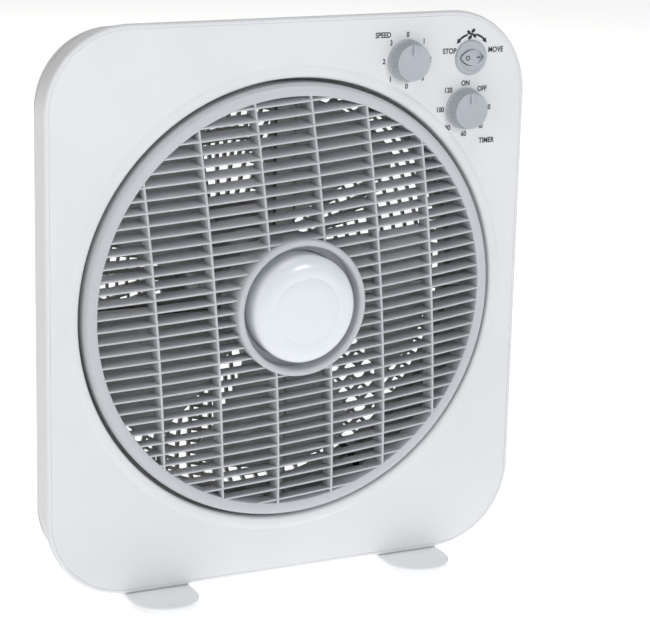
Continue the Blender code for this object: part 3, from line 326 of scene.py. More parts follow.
# the blades' white plastic, painted grey so the cavity behind the louvre shows its shade: painted shade
bladeGrey = plastic("bladeGrey", (0.48, 0.49, 0.485), 0.22, grain=0.01, alpha=0.93)
blackPlastic = plastic("blackPlastic", (0.022, 0.022, 0.024), 0.45)
printInk = plastic("printInk", (0.020, 0.022, 0.030), 0.55, grain=0.0)
padRubber = plastic("padRubber", (0.05, 0.05, 0.052), 0.75, grain=0.3, drift=0.1)
leadRubber = plastic("leadRubber", (0.035, 0.035, 0.037), 0.55, grain=0.12, drift=0.08)
terminalWhite = plastic("terminalWhite", (0.66, 0.66, 0.63), 0.45)
castAlloy = metal("castAlloy", (0.52, 0.53, 0.54), 0.48, grain=0.35)
laminations = metal("laminations", (0.32, 0.33, 0.35), 0.40, stretch=(1, 9, 1))
copperWire = metal("copperWire", (0.62, 0.27, 0.11), 0.32, stretch=(2, 2, 2))
brightSteel = metal("brightSteel", (0.66, 0.66, 0.68), 0.26, stretch=(1, 6, 1), grain=0.05)
print("finishes made")

# CAD nodes that stay take the finish of their slot
slotFinish = {"body": bodyWhite, "grille": grilleGrey, "louvre": louvreGrey, "cap": capWhite,
              "knob": knobGrey, "blades": bladeGrey, "support": supportGrey,
              "black_plastic": blackPlastic, "terminals": terminalWhite, "casting": castAlloy,
              "laminations": laminations, "copper": copperWire, "steel": brightSteel,
              "lead": leadRubber, "pad": padRubber}
for part in frame["record"]["subparts"]:
    node = frame["nodes"][part["node"]]
    node.data.materials.clear()
    node.data.materials.append(slotFinish[part["material_slot"]])
    smooth(node)
print("CAD nodes finished")


body = {"width": 0.3645, "height": 0.4019, "corner": 0.0600, "rim": 0.0033, "frontDepth": 0.0380,
        "frontDraft": 10, "rearDepth": 0.0240, "rearDraft": 21, "opening": 0.1592,
        "lipWidth": 0.0085, "lipHeight": 0.0008, "tunnel": 0.0300, "groove": 0.0004,
        "spindleHole": 0.0040, "rockerHole": 0.0121, "glandHole": 0.0063, "backOpening": 0.1583,
        "backEdge": 0.0050, "bossRadius": 0.0110, "bossBore": 0.0043}
# the rounded rim starts a little wider, so that the body comes out at its full width
flare = body["rim"] * math.sin(math.radians(body["frontDraft"]))
frontInset = body["frontDepth"] * math.tan(math.radians(body["frontDraft"])) - flare
rearInset = body["rearDepth"] * math.tan(math.radians(body["rearDraft"]))


def roundedBlock(name, width, height, corner, front, rear, inset):
    # block with rounded upright corners, narrower at the back
    piece = brick(name, (width, rear - front, height), place(0, (front + rear) / 2, 0))
    edit(piece)
    pick(piece, "edges", lambda edge: abs(edge.verts[0].co.y - edge.verts[1].co.y) > 0.01)
    bpy.ops.mesh.bevel(offset=corner, segments=24, profile=0.5, affect="EDGES")
    back = axisPoint.y + rear
    pick(piece, "verts", lambda vert: vert.co.y > back - 0.0001)
    bpy.ops.transform.resize(value=((width - 2 * inset) / width, 1, (height - 2 * inset) / height),
                             center_override=place(0, rear, 0))
    return piece


def faceAt(depth):
    y = axisPoint.y + depth
    return lambda face: abs(face.calc_center_median().y - y) < 0.00001 and abs(face.normal.y) > 0.9999


def makeFrontCover():
    piece = roundedBlock("frontCover", body["width"] + 2 * flare, body["height"] + 2 * flare,
                         body["corner"] + flare, 0.0, body["frontDepth"], frontInset + flare)
    pick(piece, "faces", faceAt(body["frontDepth"]))
    bpy.ops.mesh.delete(type="FACE")
    pick(piece, "faces", faceAt(0))
    bpy.ops.mesh.bevel(offset=body["rim"], segments=7, profile=0.5, affect="EDGES")
    pick(piece, "faces", faceAt(0))
    # fine groove between the rim and the flat of the panel
    bpy.ops.mesh.inset(thickness=0.00015)
    bpy.ops.mesh.inset(thickness=body["groove"] / 2, depth=-body["groove"])
    bpy.ops.mesh.inset(thickness=body["groove"] / 2)
    bpy.ops.mesh.inset(thickness=body["groove"] / 2, depth=body["groove"])
    bpy.ops.mesh.inset(thickness=0.0004)
    bpy.ops.mesh.inset(thickness=0.002)
    bpy.ops.object.mode_set(mode="OBJECT")
    modify(piece, "SOLIDIFY", thickness=wall, offset=-1.0, use_even_offset=True)
    holes = [drum("openingCutter", body["opening"] + wall / 2, -0.01, 0.01, sides=160)]
    holes.append(holeAt("speed_spindle", body["spindleHole"], -0.01, 0.01, 32))
    holes.append(holeAt("timer_spindle", body["spindleHole"], -0.01, 0.01, 32))
    holes.append(holeAt("rocker_bezel", body["rockerHole"], -0.01, 0.01, 64))
    carve(piece, *holes)
    inner = body["opening"]
    rise = body["lipHeight"]
    width = body["lipWidth"]
    # soft raised lip round the opening, and the tunnel behind it
    crest = [(inner + width * share, -rise * math.sin(math.pi * share) ** 0.8)
             for share in (1.0, 0.96, 0.9, 0.8, 0.7, 0.6, 0.5, 0.42)]
    nose = [(inner + 0.0022 - 0.0022 * math.sin(a), -rise * 0.97 + 0.0022 - 0.0022 * math.cos(a))
            for a in arc(5, 0, 90)]
    profile = [(inner + width, 0.0010)] + crest + nose
    profile += [(inner, body["tunnel"]), (inner + wall, body["tunnel"]), (inner + wall, 0.0010)]
    lip = turned("openingLip", profile, 180, closed=True)
    piece = merge("frontCover", [piece, lip])
    return smooth(piece, 30)


def makeRearCover():
    front = body["frontDepth"] + gap
    rear = body["frontDepth"] + body["rearDepth"]
    piece = roundedBlock("rearCover", body["width"] - 2 * frontInset, body["height"] - 2 * frontInset,
                         body["corner"] - frontInset, front, rear, rearInset)
    pick(piece, "faces", faceAt(front))
    bpy.ops.mesh.delete(type="FACE")
    pick(piece, "faces", faceAt(rear))
    bpy.ops.mesh.bevel(offset=body["backEdge"], segments=7, profile=0.5, affect="EDGES")
    pick(piece, "faces", faceAt(rear))
    bpy.ops.mesh.inset(thickness=0.0060)
    bpy.ops.mesh.inset(thickness=0.0008, depth=-0.0006)
    bpy.ops.mesh.inset(thickness=0.0020)
    bpy.ops.object.mode_set(mode="OBJECT")
    modify(piece, "SOLIDIFY", thickness=wall, offset=-1.0, use_even_offset=True)
    trim = brick("seamTrim", (0.5, 0.006, 0.5), place(0, front - 0.003, 0))
    cutters = [trim, drum("grilleCutter", body["backOpening"], rear - 0.02, rear + 0.02, sides=160)]
    cutters.append(holeAt("cord_gland", body["glandHole"], rear - 0.02, rear + 0.02, 40))
    for i in range(1, 5):
        cutters.append(holeAt(f"cover_screw_{i}", screwHole, rear - 0.02, rear + 0.02))
        cutters.append(holeAt(f"grille_screw_{i}", screwHole, rear - 0.02, rear + 0.02))
    carve(piece, *cutters)
    bosses = [piece]
    for side in ("left", "right"):
        low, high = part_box(f"foot_pivot_{side}")
        middle = (low + high) / 2
        top = axisPoint.z - body["height"] / 2 + rearInset + frontInset + 0.004
        bottom = axisPoint.z - body["height"] / 2
        boss = pillar(f"footBoss_{side}", body["bossRadius"], top - bottom,
                      (middle.x, middle.y, (top + bottom) / 2), 64)
        carve(boss, pillar(f"footBore_{side}", body["bossBore"], 0.03, (middle.x, middle.y, bottom), 40))
        bosses.append(soften(boss, 0.0006))
    piece = merge("rearCover", bosses)
    return smooth(piece, 30)


show(makeFrontCover(), "housing", "body", bodyWhite, "front_cover")
show(makeRearCover(), "housing", "body", bodyWhite, "rear_cover")
print("covers made")


grille = {"radius": 0.1580, "domeDepth": 0.0605, "barCount": 90, "barWidth": 0.0027, "barDepth": 0.0036,
          "start": 0.0520, "branch": 0.0810, "barEnd": 0.1565, "flange": 0.0070,
          "rings": (0.0620, 0.0715, 0.0810, 0.0895, 0.0980, 0.1065, 0.1150, 0.1230, 0.1310, 0.1385,
                    0.1455, 0.1515)}
rearFace = body["frontDepth"] + body["rearDepth"]


def domeDepth(radius):
    return rearFace + grille["domeDepth"] * math.sqrt(max(0.0, 1 - (radius / grille["radius"]) ** 2))


def domePoint(angle, drop):
    # point on the dome, from an angle measured from the axis
    radius = grille["radius"] * math.sin(angle)
    return radius, domeDepth(radius) - drop * math.cos(angle)


def makeBar(name, start):
    piece = sheet(name, 16, 1)
    first = math.asin(start / grille["radius"])
    last = math.asin(grille["barEnd"] / grille["radius"])

    def onDome(co):
        angle = first + (last - first) * (co.x + 1) / 2
        inward = (co.y + 1) / 2 * grille["barDepth"]
        radius, depth = domePoint(angle, inward)
        return place(0, depth, radius - inward * math.sin(angle) * 0.9)

    shape(piece, onDome)
    modify(piece, "SOLIDIFY", thickness=grille["barWidth"], offset=0.0)
    return soften(piece, 0.0004, 1)


def makeRearGrille():
    long = makeBar("longBar", grille["start"])
    short = makeBar("shortBar", grille["branch"])
    pieces = []
    for i in range(grille["barCount"]):
        # every second bar starts further out
        spin = turnBy((i + 0.25) * math.tau / grille["barCount"])
        pieces.append(copyOf(long if i % 2 == 0 else short, f"bar{i}", spin))
    bpy.data.objects.remove(long, do_unlink=True)
    bpy.data.objects.remove(short, do_unlink=True)
    for i, radius in enumerate(grille["rings"]):
        half = 0.0011
        depth = domeDepth(radius)
        section = [(radius - half, depth - 0.0028), (radius + half, depth - 0.0034),
                   (radius + half, depth - 0.0010), (radius - half, depth - 0.0004)]
        pieces.append(turned(f"grilleRing{i}", section, 120, closed=True))
    outer = grille["radius"]
    seat = rearFace + gap
    edge = outer + grille["flange"]
    rim = [(outer - 0.0050, seat + 0.0040), (outer - 0.0020, seat + 0.0046),
           (outer + 0.0010, seat + 0.0032), (edge - 0.0008, seat + wall), (edge, seat + wall - 0.0008),
           (edge, seat), (outer, seat), (outer, rearFace - 0.0060), (outer - 0.0050, rearFace - 0.0060)]
    rimPiece = turned("grilleRim", rim, 160, closed=True)
    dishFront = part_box("motor_rear_shield")[1].y - axisPoint.y + gap
    # motor dish with a shallow groove near its edge
    steps = [(0.0, 0.0), (0.0500, 0.0), (0.0540, -0.0012), (0.0546, 0.0010), (0.0540, 0.0026),
             (0.0500, 0.0034), (0.0440, 0.0030), (0.0425, 0.0022), (0.0405, 0.0022), (0.0390, 0.0030),
             (0.0, 0.0030)]
    dishPiece = turned("grilleDish", [(radius, dishFront + step) for radius, step in steps], 96)
    carve(rimPiece, *(holeAt(f"grille_screw_{i}", screwHole, seat - 0.01, seat + 0.01)
                      for i in range(1, 5)))
    carve(dishPiece, *(holeAt(f"motor_screw_{i}", screwHole, dishFront - 0.01, dishFront + 0.01)
                       for i in range(1, 4)))
    return smooth(merge("rearGrille", [rimPiece, dishPiece] + pieces))


# the grille takes its own grey darkened towards its look in shade: partly painted shade
show(makeRearGrille(), "housing", "grille", grilleGrey, "rear_grille")
print("rear grille made")


louvre = {"radius": 0.1562, "ringWidth": 0.0092, "ringFront": 0.0050, "rise": 0.0120, "slatCount": 34,
          "pitch": 0.00864, "slatDepth": 0.0150, "slatThick": 0.0013, "fan": 10, "ribCount": 6,
          "ribPitch": 0.0424, "ribThick": 0.0016, "restTurn": -4.5, "hubRadius": 0.0492,
          "hubWidth": 0.0050, "hubFront": 0.0194, "hubRear": 0.0120, "recessFloor": -0.0060,
          "recessRadius": 0.0392}
ringInner = louvre["radius"] - louvre["ringWidth"]
hubInner = louvre["hubRadius"] - louvre["hubWidth"]


def slatFront(radius):
    return -louvre["ringFront"] - louvre["rise"] * (1 - min(radius / ringInner, 1.0) ** 2)


def spans(offset):
    # stretches of a slat or rib between the ring and the hub
    reach = math.sqrt((ringInner + 0.0012) ** 2 - offset ** 2)
    middle = hubInner + louvre["hubWidth"] / 2
    if abs(offset) >= middle:
        return [(-reach, reach)]
    start = math.sqrt(middle ** 2 - offset ** 2)
    return [(-reach, -start), (start, reach)]


def makeSlat(height, start, end, name):
    piece = sheet(name, 24, 1)
    slope = math.tan(math.radians(louvre["fan"]) * height / ringInner)

    def onDome(co):
        x = start + (end - start) * (co.x + 1) / 2
        back = louvre["slatDepth"] * (co.y + 1) / 2
        return place(x, slatFront(math.hypot(x, height)) + back, height + back * slope)

    shape(piece, onDome)
    modify(piece, "SOLIDIFY", thickness=louvre["slatThick"], offset=0.0)
    return soften(piece, 0.00035, 2, 60)


def makeRib(x, start, end, name):
    piece = sheet(name, 24, 1)

    def onDome(co):
        height = start + (end - start) * (co.x + 1) / 2
        back = (louvre["slatDepth"] - 0.0015) * (co.y + 1) / 2
        return place(x, slatFront(math.hypot(x, height)) + 0.0002 + back, height)

    shape(piece, onDome)
    modify(piece, "SOLIDIFY", thickness=louvre["ribThick"], offset=0.0)
    return soften(piece, 0.00035, 2, 60)


def makeLouvreWheel():
    pieces = []
    for i in range(louvre["slatCount"]):
        height = (i - (louvre["slatCount"] - 1) / 2) * louvre["pitch"]
        for j, (start, end) in enumerate(spans(height)):
            pieces.append(makeSlat(height, start, end, f"slat{i}_{j}"))
    for i in range(louvre["ribCount"]):
        x = (i - (louvre["ribCount"] - 1) / 2) * louvre["ribPitch"]
        for j, (start, end) in enumerate(spans(x)):
            pieces.append(makeRib(x, start, end, f"rib{i}_{j}"))
    face = -louvre["ringFront"]
    outer = louvre["radius"]
    ring = [(ringInner, face + 0.0012), (ringInner + 0.0003, face + 0.0004),
            (ringInner + 0.0010, face), (outer - 0.0024, face + 0.0003), (outer - 0.0018, face + 0.0006),
            (outer - 0.0014, face + 0.0012), (outer - 0.0006, face + 0.0024),
            (outer - 0.0001, face + 0.0038), (outer, face + 0.0050), (outer, face + 0.0130),
            (ringInner + 0.0022, face + 0.0170), (ringInner, face + 0.0170)]
    pieces.append(turned("wheelRing", ring, 180, closed=True))
    front = -louvre["hubFront"]
    rear = louvre["hubRear"]
    floor = louvre["recessFloor"]
    recess = louvre["recessRadius"]
    outer = louvre["hubRadius"]
    hub = [(hubInner, front + 0.0020), (hubInner + 0.0004, front + 0.0009),
           (hubInner + 0.0013, front + 0.0002), (hubInner + 0.0025, front),
           (outer - 0.0013, front + 0.0002), (outer - 0.0004, front + 0.0009),
           (outer, front + 0.0020), (outer, rear), (hubInner, rear),
           (hubInner, floor + 0.0020), (recess, floor + 0.0020), (recess, floor), (hubInner, floor)]
    pieces.append(turned("wheelHub", hub, 120, closed=True))
    backPlate = [(0.0033, rear), (outer - 0.0010, rear), (outer - 0.0010, rear - wall),
                 (0.0073, rear - wall), (0.0073, rear - 0.0105), (0.0033, rear - 0.0105)]
    pieces.append(turned("wheelBackPlate", backPlate, 96, closed=True))
    wheel = merge("louvreWheel", pieces)
    wheel.data.transform(turnBy(math.radians(louvre["restTurn"])))
    return smooth(wheel, 35)


cap = {"radius": 0.0387, "front": 0.0275, "edge": 0.0194, "disc": 0.0235}


def makeCentreCap():
    front = -cap["front"]
    edge = -cap["edge"]
    radius = cap["radius"]
    disc = cap["disc"]
    profile = [(0.0, front), (disc * 0.5, front + 0.00005), (disc - 0.0006, front + 0.0002),
               (disc - 0.0002, front + 0.00035), (disc, front + 0.0006), (disc + 0.0004, front + 0.0006)]
    shoulder = [(disc + 0.0010 + (radius - disc - 0.0010) * math.sin(a),
                 front + 0.0005 + (edge - front - 0.0005) * (1 - math.cos(a))) for a in arc(12, 0, 90)]
    floor = louvre["hubRear"] - wall - gap
    profile += shoulder + [(radius, floor), (radius - 0.0020, floor), (radius - 0.0020, edge),
                           (radius * 0.8, front + 0.0042), (0.0, front + 0.0026)]
    return smooth(turned("centreCap", profile, 128), 30)


show(makeLouvreWheel(), "louvre", "louvre", louvreGrey, "louvre_wheel")
show(makeCentreCap(), "louvre", "cap", capWhite, "centre_cap")
print("louvre wheel made")


support = {"front": 0.0145, "depth": 0.0100, "armWidth": 0.0080, "wireArmWidth": 0.0160,
           "hubRadius": 0.0340, "bore": 0.0060, "stop": 0.1585, "ledge": (0.1500, 0.1588)}


def makeSupport():
    front = support["front"]
    back = front + support["depth"]
    outer = support["hubRadius"]
    plate = [(support["bore"], front), (outer - 0.0010, front), (outer, front + 0.0010), (outer, back),
             (outer - wall, back), (outer - wall, front + wall), (support["bore"], front + wall)]
    pieces = [turned("supportHub", plate, 96, closed=True)]
    stop = support["stop"]
    seat = body["tunnel"] + gap
    for i in range(4):
        width = support["wireArmWidth"] if i == 0 else support["armWidth"]
        length = stop - outer + wall / 2
        # open channel: a web in front and two flanges, ending in the tab its screw holds
        arm = [brick(f"armWeb{i}", (width, wall, length), place(0, front + wall / 2, stop - length / 2))]
        for side in (-1, 1):
            x = side * (width / 2 - 0.0008)
            arm.append(brick(f"armFlange{i}_{side}", (0.0016, back - front, length),
                             place(x, (front + back) / 2, stop - length / 2)))
        arm.append(brick(f"armDrop{i}", (width, seat + wall - front, 0.0060),
                         place(0, (seat + wall + front) / 2, stop - 0.0030)))
        arm.append(brick(f"armTab{i}", (width, wall, 0.0190), place(0, seat + wall / 2, stop + 0.0038)))
        armPiece = soften(merge(f"supportArm{i}", arm), 0.0004, 1)
        armPiece.data.transform(turnBy(i * math.pi / 2))
        pieces.append(armPiece)
    # thin ring that closes the gap behind the wheel's edge: a sheet put there so the gap shows as dark shade
    inner, edge = support["ledge"]
    ledge = [(inner, front - 0.0020), (edge, front - 0.0020), (edge, front - 0.0006),
             (inner, front - 0.0006)]
    pieces.append(turned("supportLedge", ledge, 160, closed=True))
    return smooth(merge("louvreSupport", pieces))


def makeGearMotor():
    low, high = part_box("louvre_motor")
    front = low.y - axisPoint.y
    rear = high.y - axisPoint.y
    radius = (high.x - low.x) / 2
    profile = [(0.0033, front), (radius - 0.0012, front), (radius - 0.0003, front + 0.0004),
               (radius, front + 0.0012), (radius, rear - 0.0040), (radius + 0.0004, rear - 0.0036),
               (radius + 0.0004, rear - 0.0024), (radius, rear - 0.0020),
               (radius - 0.0008, rear - 0.0004), (radius - 0.0020, rear), (0.0033, rear)]
    return smooth(turned("gearMotor", profile, 96, closed=True))


# the support takes a dark grey that stands in for the shade behind the wheel: painted shade
show(makeSupport(), "housing", "support", supportGrey, "louvre_support")
show(makeGearMotor(), "housing", "casting", castAlloy, "louvre_motor")
print("louvre drive made")


impeller = {"count": 5, "tip": 0.1400, "thick": 0.0018, "halfAngle": 24.5, "reach": 0.0140, "sweep": 14,
            "restTurn": 17, "hubRadius": 0.0380, "front": 0.0400, "length": 0.0360, "bore": 0.0043,
            "shoulder": 0.0070, "collar": 0.0050, "collarLength": 0.0200}


def makeImpeller():
    outer = impeller["hubRadius"]
    front = impeller["front"]
    rear = front + impeller["length"]
    bore = impeller["bore"]
    shoulder = impeller["shoulder"]
    collar = bore + impeller["collar"]
    collarEnd = front + impeller["collarLength"]
    dome = [(outer - shoulder + shoulder * math.sin(a), front + shoulder - shoulder * math.cos(a))
            for a in arc(8, 0, 90)]
    hub = [(bore, front)] + dome + [(outer, rear), (outer - wall, rear), (outer - wall, front + shoulder),
                                    (collar, front + wall), (collar, collarEnd), (bore, collarEnd)]
    pieces = [turned("impellerHub", hub, 96, closed=True)]
    root = outer - wall / 2
    middle = front + impeller["length"] / 2
    blade = sheet("blade", 16, 20)

    def onBlade(co):
        share = (co.y + 1) / 2
        radius = root + share * (impeller["tip"] - root)
        # rounded tip corners and a leading edge that sweeps forward
        narrow = 1 - 0.10 * max(0.0, share - 0.86) / 0.14 * abs(co.x)
        sweep = math.radians(impeller["sweep"]) * share ** 1.5
        angle = co.x * narrow * math.radians(impeller["halfAngle"]) * (0.85 + 0.25 * share) + sweep
        reach = impeller["reach"] * (1.05 - 0.35 * share)
        depth = middle + co.x * reach - 0.0020 * (1 - co.x ** 2)
        radius -= 0.0050 * max(0.0, abs(co.x) - 0.7) ** 2 / 0.09 * share ** 4
        return place(radius * math.sin(angle), depth, radius * math.cos(angle))

    shape(blade, onBlade)
    modify(blade, "SOLIDIFY", thickness=impeller["thick"], offset=0.0)
    soften(blade, 0.0004, 1, 60)
    for i in range(impeller["count"]):
        angle = math.radians(impeller["restTurn"]) + i * math.tau / impeller["count"]
        pieces.append(copyOf(blade, f"blade{i}", turnBy(angle)))
    bpy.data.objects.remove(blade, do_unlink=True)
    return smooth(merge("bladeSet", pieces))


def makeBladeNut():
    low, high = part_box("blade_nut")
    rear = high.y - axisPoint.y
    front = low.y - axisPoint.y
    radius = (high.x - low.x) / 2
    profile = [(0.0, front), (0.0050, front + 0.0001), (0.0065, front + 0.0008),
               (radius - 0.0010, rear - 0.0030), (radius, rear - 0.0012), (radius, rear), (0.0043, rear),
               (0.0043, rear - 0.0028), (0.0, rear - 0.0028)]
    nut = turned("bladeNut", profile, 64)
    # finger flutes round its side
    fluteCount = 8
    fluteRadius = 0.0022
    reach = radius + 0.0008
    flutes = []
    for i in range(fluteCount):
        angle = i * math.tau / fluteCount
        flutes.append(drum(f"flute{i}", fluteRadius, front - 0.002, rear - 0.001,
                           reach * math.sin(angle), reach * math.cos(angle), 24))
    return smooth(carve(nut, *flutes))


# the blades take a grey that stands in for the shade inside the cavity: painted shade
show(makeImpeller(), "fan", "blades", bladeGrey, "impeller")
show(makeBladeNut(), "fan", "black_plastic", blackPlastic, "blade_nut")
print("blades made")


def shellProfile(low, high, radius, openEnd):
    # cup of the motor's end shield, open towards the stator
    inner = radius - wall
    bore = 0.0043
    if openEnd == "rear":
        return [(bore, low), (radius - 0.0060, low), (radius - 0.0030, low + 0.0006),
                (radius - 0.0010, low + 0.0020), (radius, low + 0.0046), (radius, high), (inner, high),
                (inner, low + 0.0055), (radius - 0.0080, low + wall), (bore, low + wall)]
    return [(0.0, high - wall), (radius - 0.0080, high - wall), (inner, high - 0.0055), (inner, low),
            (radius, low), (radius, high - 0.0046), (radius - 0.0010, high - 0.0020),
            (radius - 0.0030, high - 0.0006), (radius - 0.0060, high), (0.0, high)]


def makeShield(node, name, openEnd):
    low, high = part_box(node)
    radius = (high.x - low.x) / 2
    front = low.y - axisPoint.y
    rear = high.y - axisPoint.y
    piece = turned(name, shellProfile(front, rear, radius, openEnd), 96, closed=openEnd == "rear")
    # cooling slots round the shoulder
    slots = []
    depth = front + 0.0035 if openEnd == "rear" else rear - 0.0035
    for i in range(12):
        angle = (i + 0.5) * math.tau / 12
        slot = brick(f"{name}Slot{i}", (0.0030, 0.0042, 0.0130), place(0, depth, radius - 0.0035))
        slot.data.transform(turnBy(angle))
        slots.append(slot)
    carve(piece, merge(f"{name}Slots", slots))
    if openEnd == "front":
        carve(piece, *(holeAt(f"motor_screw_{i}", screwHole, rear - 0.01, rear + 0.01)
                       for i in range(1, 4)))
    return smooth(piece)


def makeStator():
    low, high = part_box("motor_stator")
    radius = (high.x - low.x) / 2
    front = low.y - axisPoint.y
    rear = high.y - axisPoint.y
    # edges of the stacked sheets show as fine steps
    count = 12
    pitch = (rear - front) / count
    valley = radius - 0.00025
    bore = 0.0245
    profile = []
    for i in range(count):
        near = front + (rear - front) * i / count
        far = front + (rear - front) * (i + 0.8) / count
        profile += [(radius, near), (radius, far), (valley, far), (valley, near + pitch)]
    profile[-1] = (valley, rear)
    profile += [(bore, rear), (bore, front)]
    return smooth(turned("stator", profile, 96, closed=True))


show(makeShield("motor_front_shield", "frontShield", "rear"), "housing", "casting", castAlloy,
     "motor_front_shield")
show(makeShield("motor_rear_shield", "rearShield", "front"), "housing", "casting", castAlloy,
     "motor_rear_shield")
show(makeStator(), "housing", "laminations", laminations, "motor_stator")
print("fan motor made")


knob = {"base": 0.0150, "face": 0.0131, "height": 0.0115, "teeth": 60, "toothDepth": 0.00035,
        "pointerWidth": 0.0030, "pointerLength": 0.0086, "pointerHeight": 0.0013}


def makeKnob(prefix, mover):
    low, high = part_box(f"{prefix}_knob")
    middle = middleOf(f"{prefix}_spindle")
    centre = (middle.x, middle.z)
    back = high.y - axisPoint.y
    face = -knob["height"]
    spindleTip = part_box(f"{prefix}_spindle")[0].y - axisPoint.y - gap
    profile = [(0.0, face + 0.0009), (0.0040, face + 0.00082), (0.0080, face + 0.00052),
               (knob["face"] - 0.0024, face + 0.00018), (knob["face"] - 0.0014, face + 0.00004),
               (knob["face"] - 0.0008, face), (knob["face"] - 0.0003, face + 0.0003),
               (knob["face"], face + 0.0009), (knob["face"] + 0.0004, face + 0.0030),
               (knob["base"] - 0.0005, back - 0.0016), (knob["base"] - 0.0002, back - 0.0010),
               (knob["base"], back - 0.0008), (knob["base"], back), (0.0033, back), (0.0033, spindleTip),
               (0.0, spindleTip)]
    piece = turned(f"{prefix}Knob", profile, knob["teeth"] * 4, centre)
    centreWorld = place(middle.x, 0, middle.z)

    def knurl(co):
        # fine teeth round the side, none on the face or the foot
        offset = co - centreWorld
        radius = math.hypot(offset.x, offset.z)
        if radius < knob["face"] - 0.0001 or offset.y > back - 0.0012:
            return co
        angle = math.atan2(offset.x, offset.z)
        deep = knob["toothDepth"] * (1 - math.cos(knob["teeth"] * angle)) / 2
        scale = (radius - 2 * deep) / radius
        return Vector((centreWorld.x + offset.x * scale, co.y, centreWorld.z + offset.z * scale))

    shape(piece, knurl)
    # raised ridge that points to the mark
    length = knob["pointerLength"]
    pointer = brick(f"{prefix}Pointer", (knob["pointerWidth"], 2 * knob["pointerHeight"], length),
                    place(middle.x, face, middle.z + knob["face"] + 0.0002 - length / 2))
    edit(pointer)
    pick(pointer, "edges", lambda edge: abs(edge.verts[0].co.y - edge.verts[1].co.y) > 0.001)
    bpy.ops.mesh.bevel(offset=knob["pointerWidth"] * 0.49, segments=8, profile=0.5, affect="EDGES")
    bpy.ops.object.mode_set(mode="OBJECT")
    soften(pointer, 0.0005, 3, 60)
    piece = smooth(merge(f"{prefix}Knob", [piece, pointer]), 35)
    return show(piece, mover, "knob", knobGrey, f"{prefix}_knob")


rocker = {"bezel": 0.0125, "height": 0.0022, "eyeWidth": 0.0194, "eyeHeight": 0.0114, "tilt": 10,
          "pivot": 0.0030, "crown": 0.0028, "bow": 0.0270, "markReach": 0.0048,
          "barrel": (0.0118, 0.0180)}


def eye(name, grow, front, rear, centre):
    # pointed oval block: two equal arcs that meet at its ends
    halfWidth = rocker["eyeWidth"] / 2 + grow
    halfHeight = rocker["eyeHeight"] / 2 + grow
    radius = (halfWidth ** 2 + halfHeight ** 2) / (2 * halfHeight)
    lower = drum(name + "Lower", radius, front, rear, centre.x, centre.z + halfHeight - radius, 256)
    upper = drum(name, radius, front, rear, centre.x, centre.z - halfHeight + radius, 256)
    piece = carve(upper, lower, operation="INTERSECT")
    piece.name = name
    return piece


def makeRocker():
    middle = middleOf("rocker_bezel")
    centre = Vector((middle.x, 0, middle.z))
    top = -rocker["height"]
    radius = rocker["bezel"]
    barrel, rear = rocker["barrel"]
    profile = [(0.0, top + 0.0004), (radius - 0.0032, top + 0.0004), (radius - 0.0026, top),
               (radius - 0.0016, top), (radius - 0.0007, top + 0.0003), (radius - 0.0001, top + 0.0010),
               (radius, top + 0.0016), (radius, -gap), (barrel, -gap), (barrel, rear), (0.0, rear)]
    bezel = turned("rockerBezel", profile, 128, (centre.x, centre.z))
    carve(bezel, eye("eyeWell", 0.0002, -0.01, 0.0120, centre))
    show(smooth(bezel), "housing", "knob", knobGrey, "rocker_bezel")
    button = eye("rockerButton", -0.0001, -0.0100, 0.0040, centre)
    # the pressed side sinks as the whole button tips on its upright pin
    pin = Matrix.Translation(place(centre.x, rocker["pivot"], centre.z))
    tip = pin @ Matrix.Rotation(math.radians(rocker["tilt"]), 4, "Z") @ pin.inverted()
    # its top bows forward: what is left is inside an upright roller
    roller = pillar("roller", rocker["bow"], 0.0400,
                    place(centre.x, rocker["bow"] - rocker["crown"], centre.z), 256)
    carve(button, roller, operation="INTERSECT")
    soften(button, 0.0005, 3)
    button.data.transform(tip)
    show(smooth(button), "rocker", "knob", knobGrey, "rocker_button")
    return centre, tip


makeKnob("speed", "speed_dial")
makeKnob("timer", "timer_dial")
rockerCentre, rockerTip = makeRocker()
print("controls made")


printing = {"film": 0.00008, "digit": 0.0052, "word": 0.0054, "squeeze": 0.84, "weight": 0.024,
            "ring": 0.0183, "arrowRadius": 0.0142, "arrowWidth": 0.0015, "arrowSpan": (14, 58),
            "signBoss": 0.0010, "signBlade": 0.0015, "signReach": 0.0026, "signHeight": 0.0166,
            "signLean": 32, "signTurn": 0.3,
            "words": {"SPEED": (0.0666, 0.1857), "STOP": (0.1197, 0.1722), "MOVE": (0.1572, 0.1720),
                      "TIMER": (0.1525, 0.1066)}}
prints = []


def label(text, x, height, size):
    ready()
    spot = place(x, -printing["film"] * 1.5, height)
    bpy.ops.object.text_add(location=spot, rotation=(math.pi / 2, 0, 0))
    piece = bpy.context.object
    piece.data.body = text
    piece.data.size = size
    piece.data.align_x = "CENTER"
    piece.data.align_y = "CENTER"
    piece.data.extrude = printing["film"] / 2
    piece.data.offset = size * printing["weight"]
    piece.data.resolution_u = 4
    piece.scale = (printing["squeeze"], 1, 1)
    bpy.ops.object.convert(target="MESH")
    prints.append(named(f"print{len(prints)}"))


def dial(prefix, marks):
    middle = middleOf(f"{prefix}_spindle")
    for i, mark in enumerate(marks):
        angle = i * math.tau / len(marks)
        reach = printing["ring"] + 0.0008 * (len(mark) - 1) * abs(math.sin(angle))
        label(mark, middle.x + reach * math.sin(angle), middle.z + reach * math.cos(angle),
              printing["digit"])


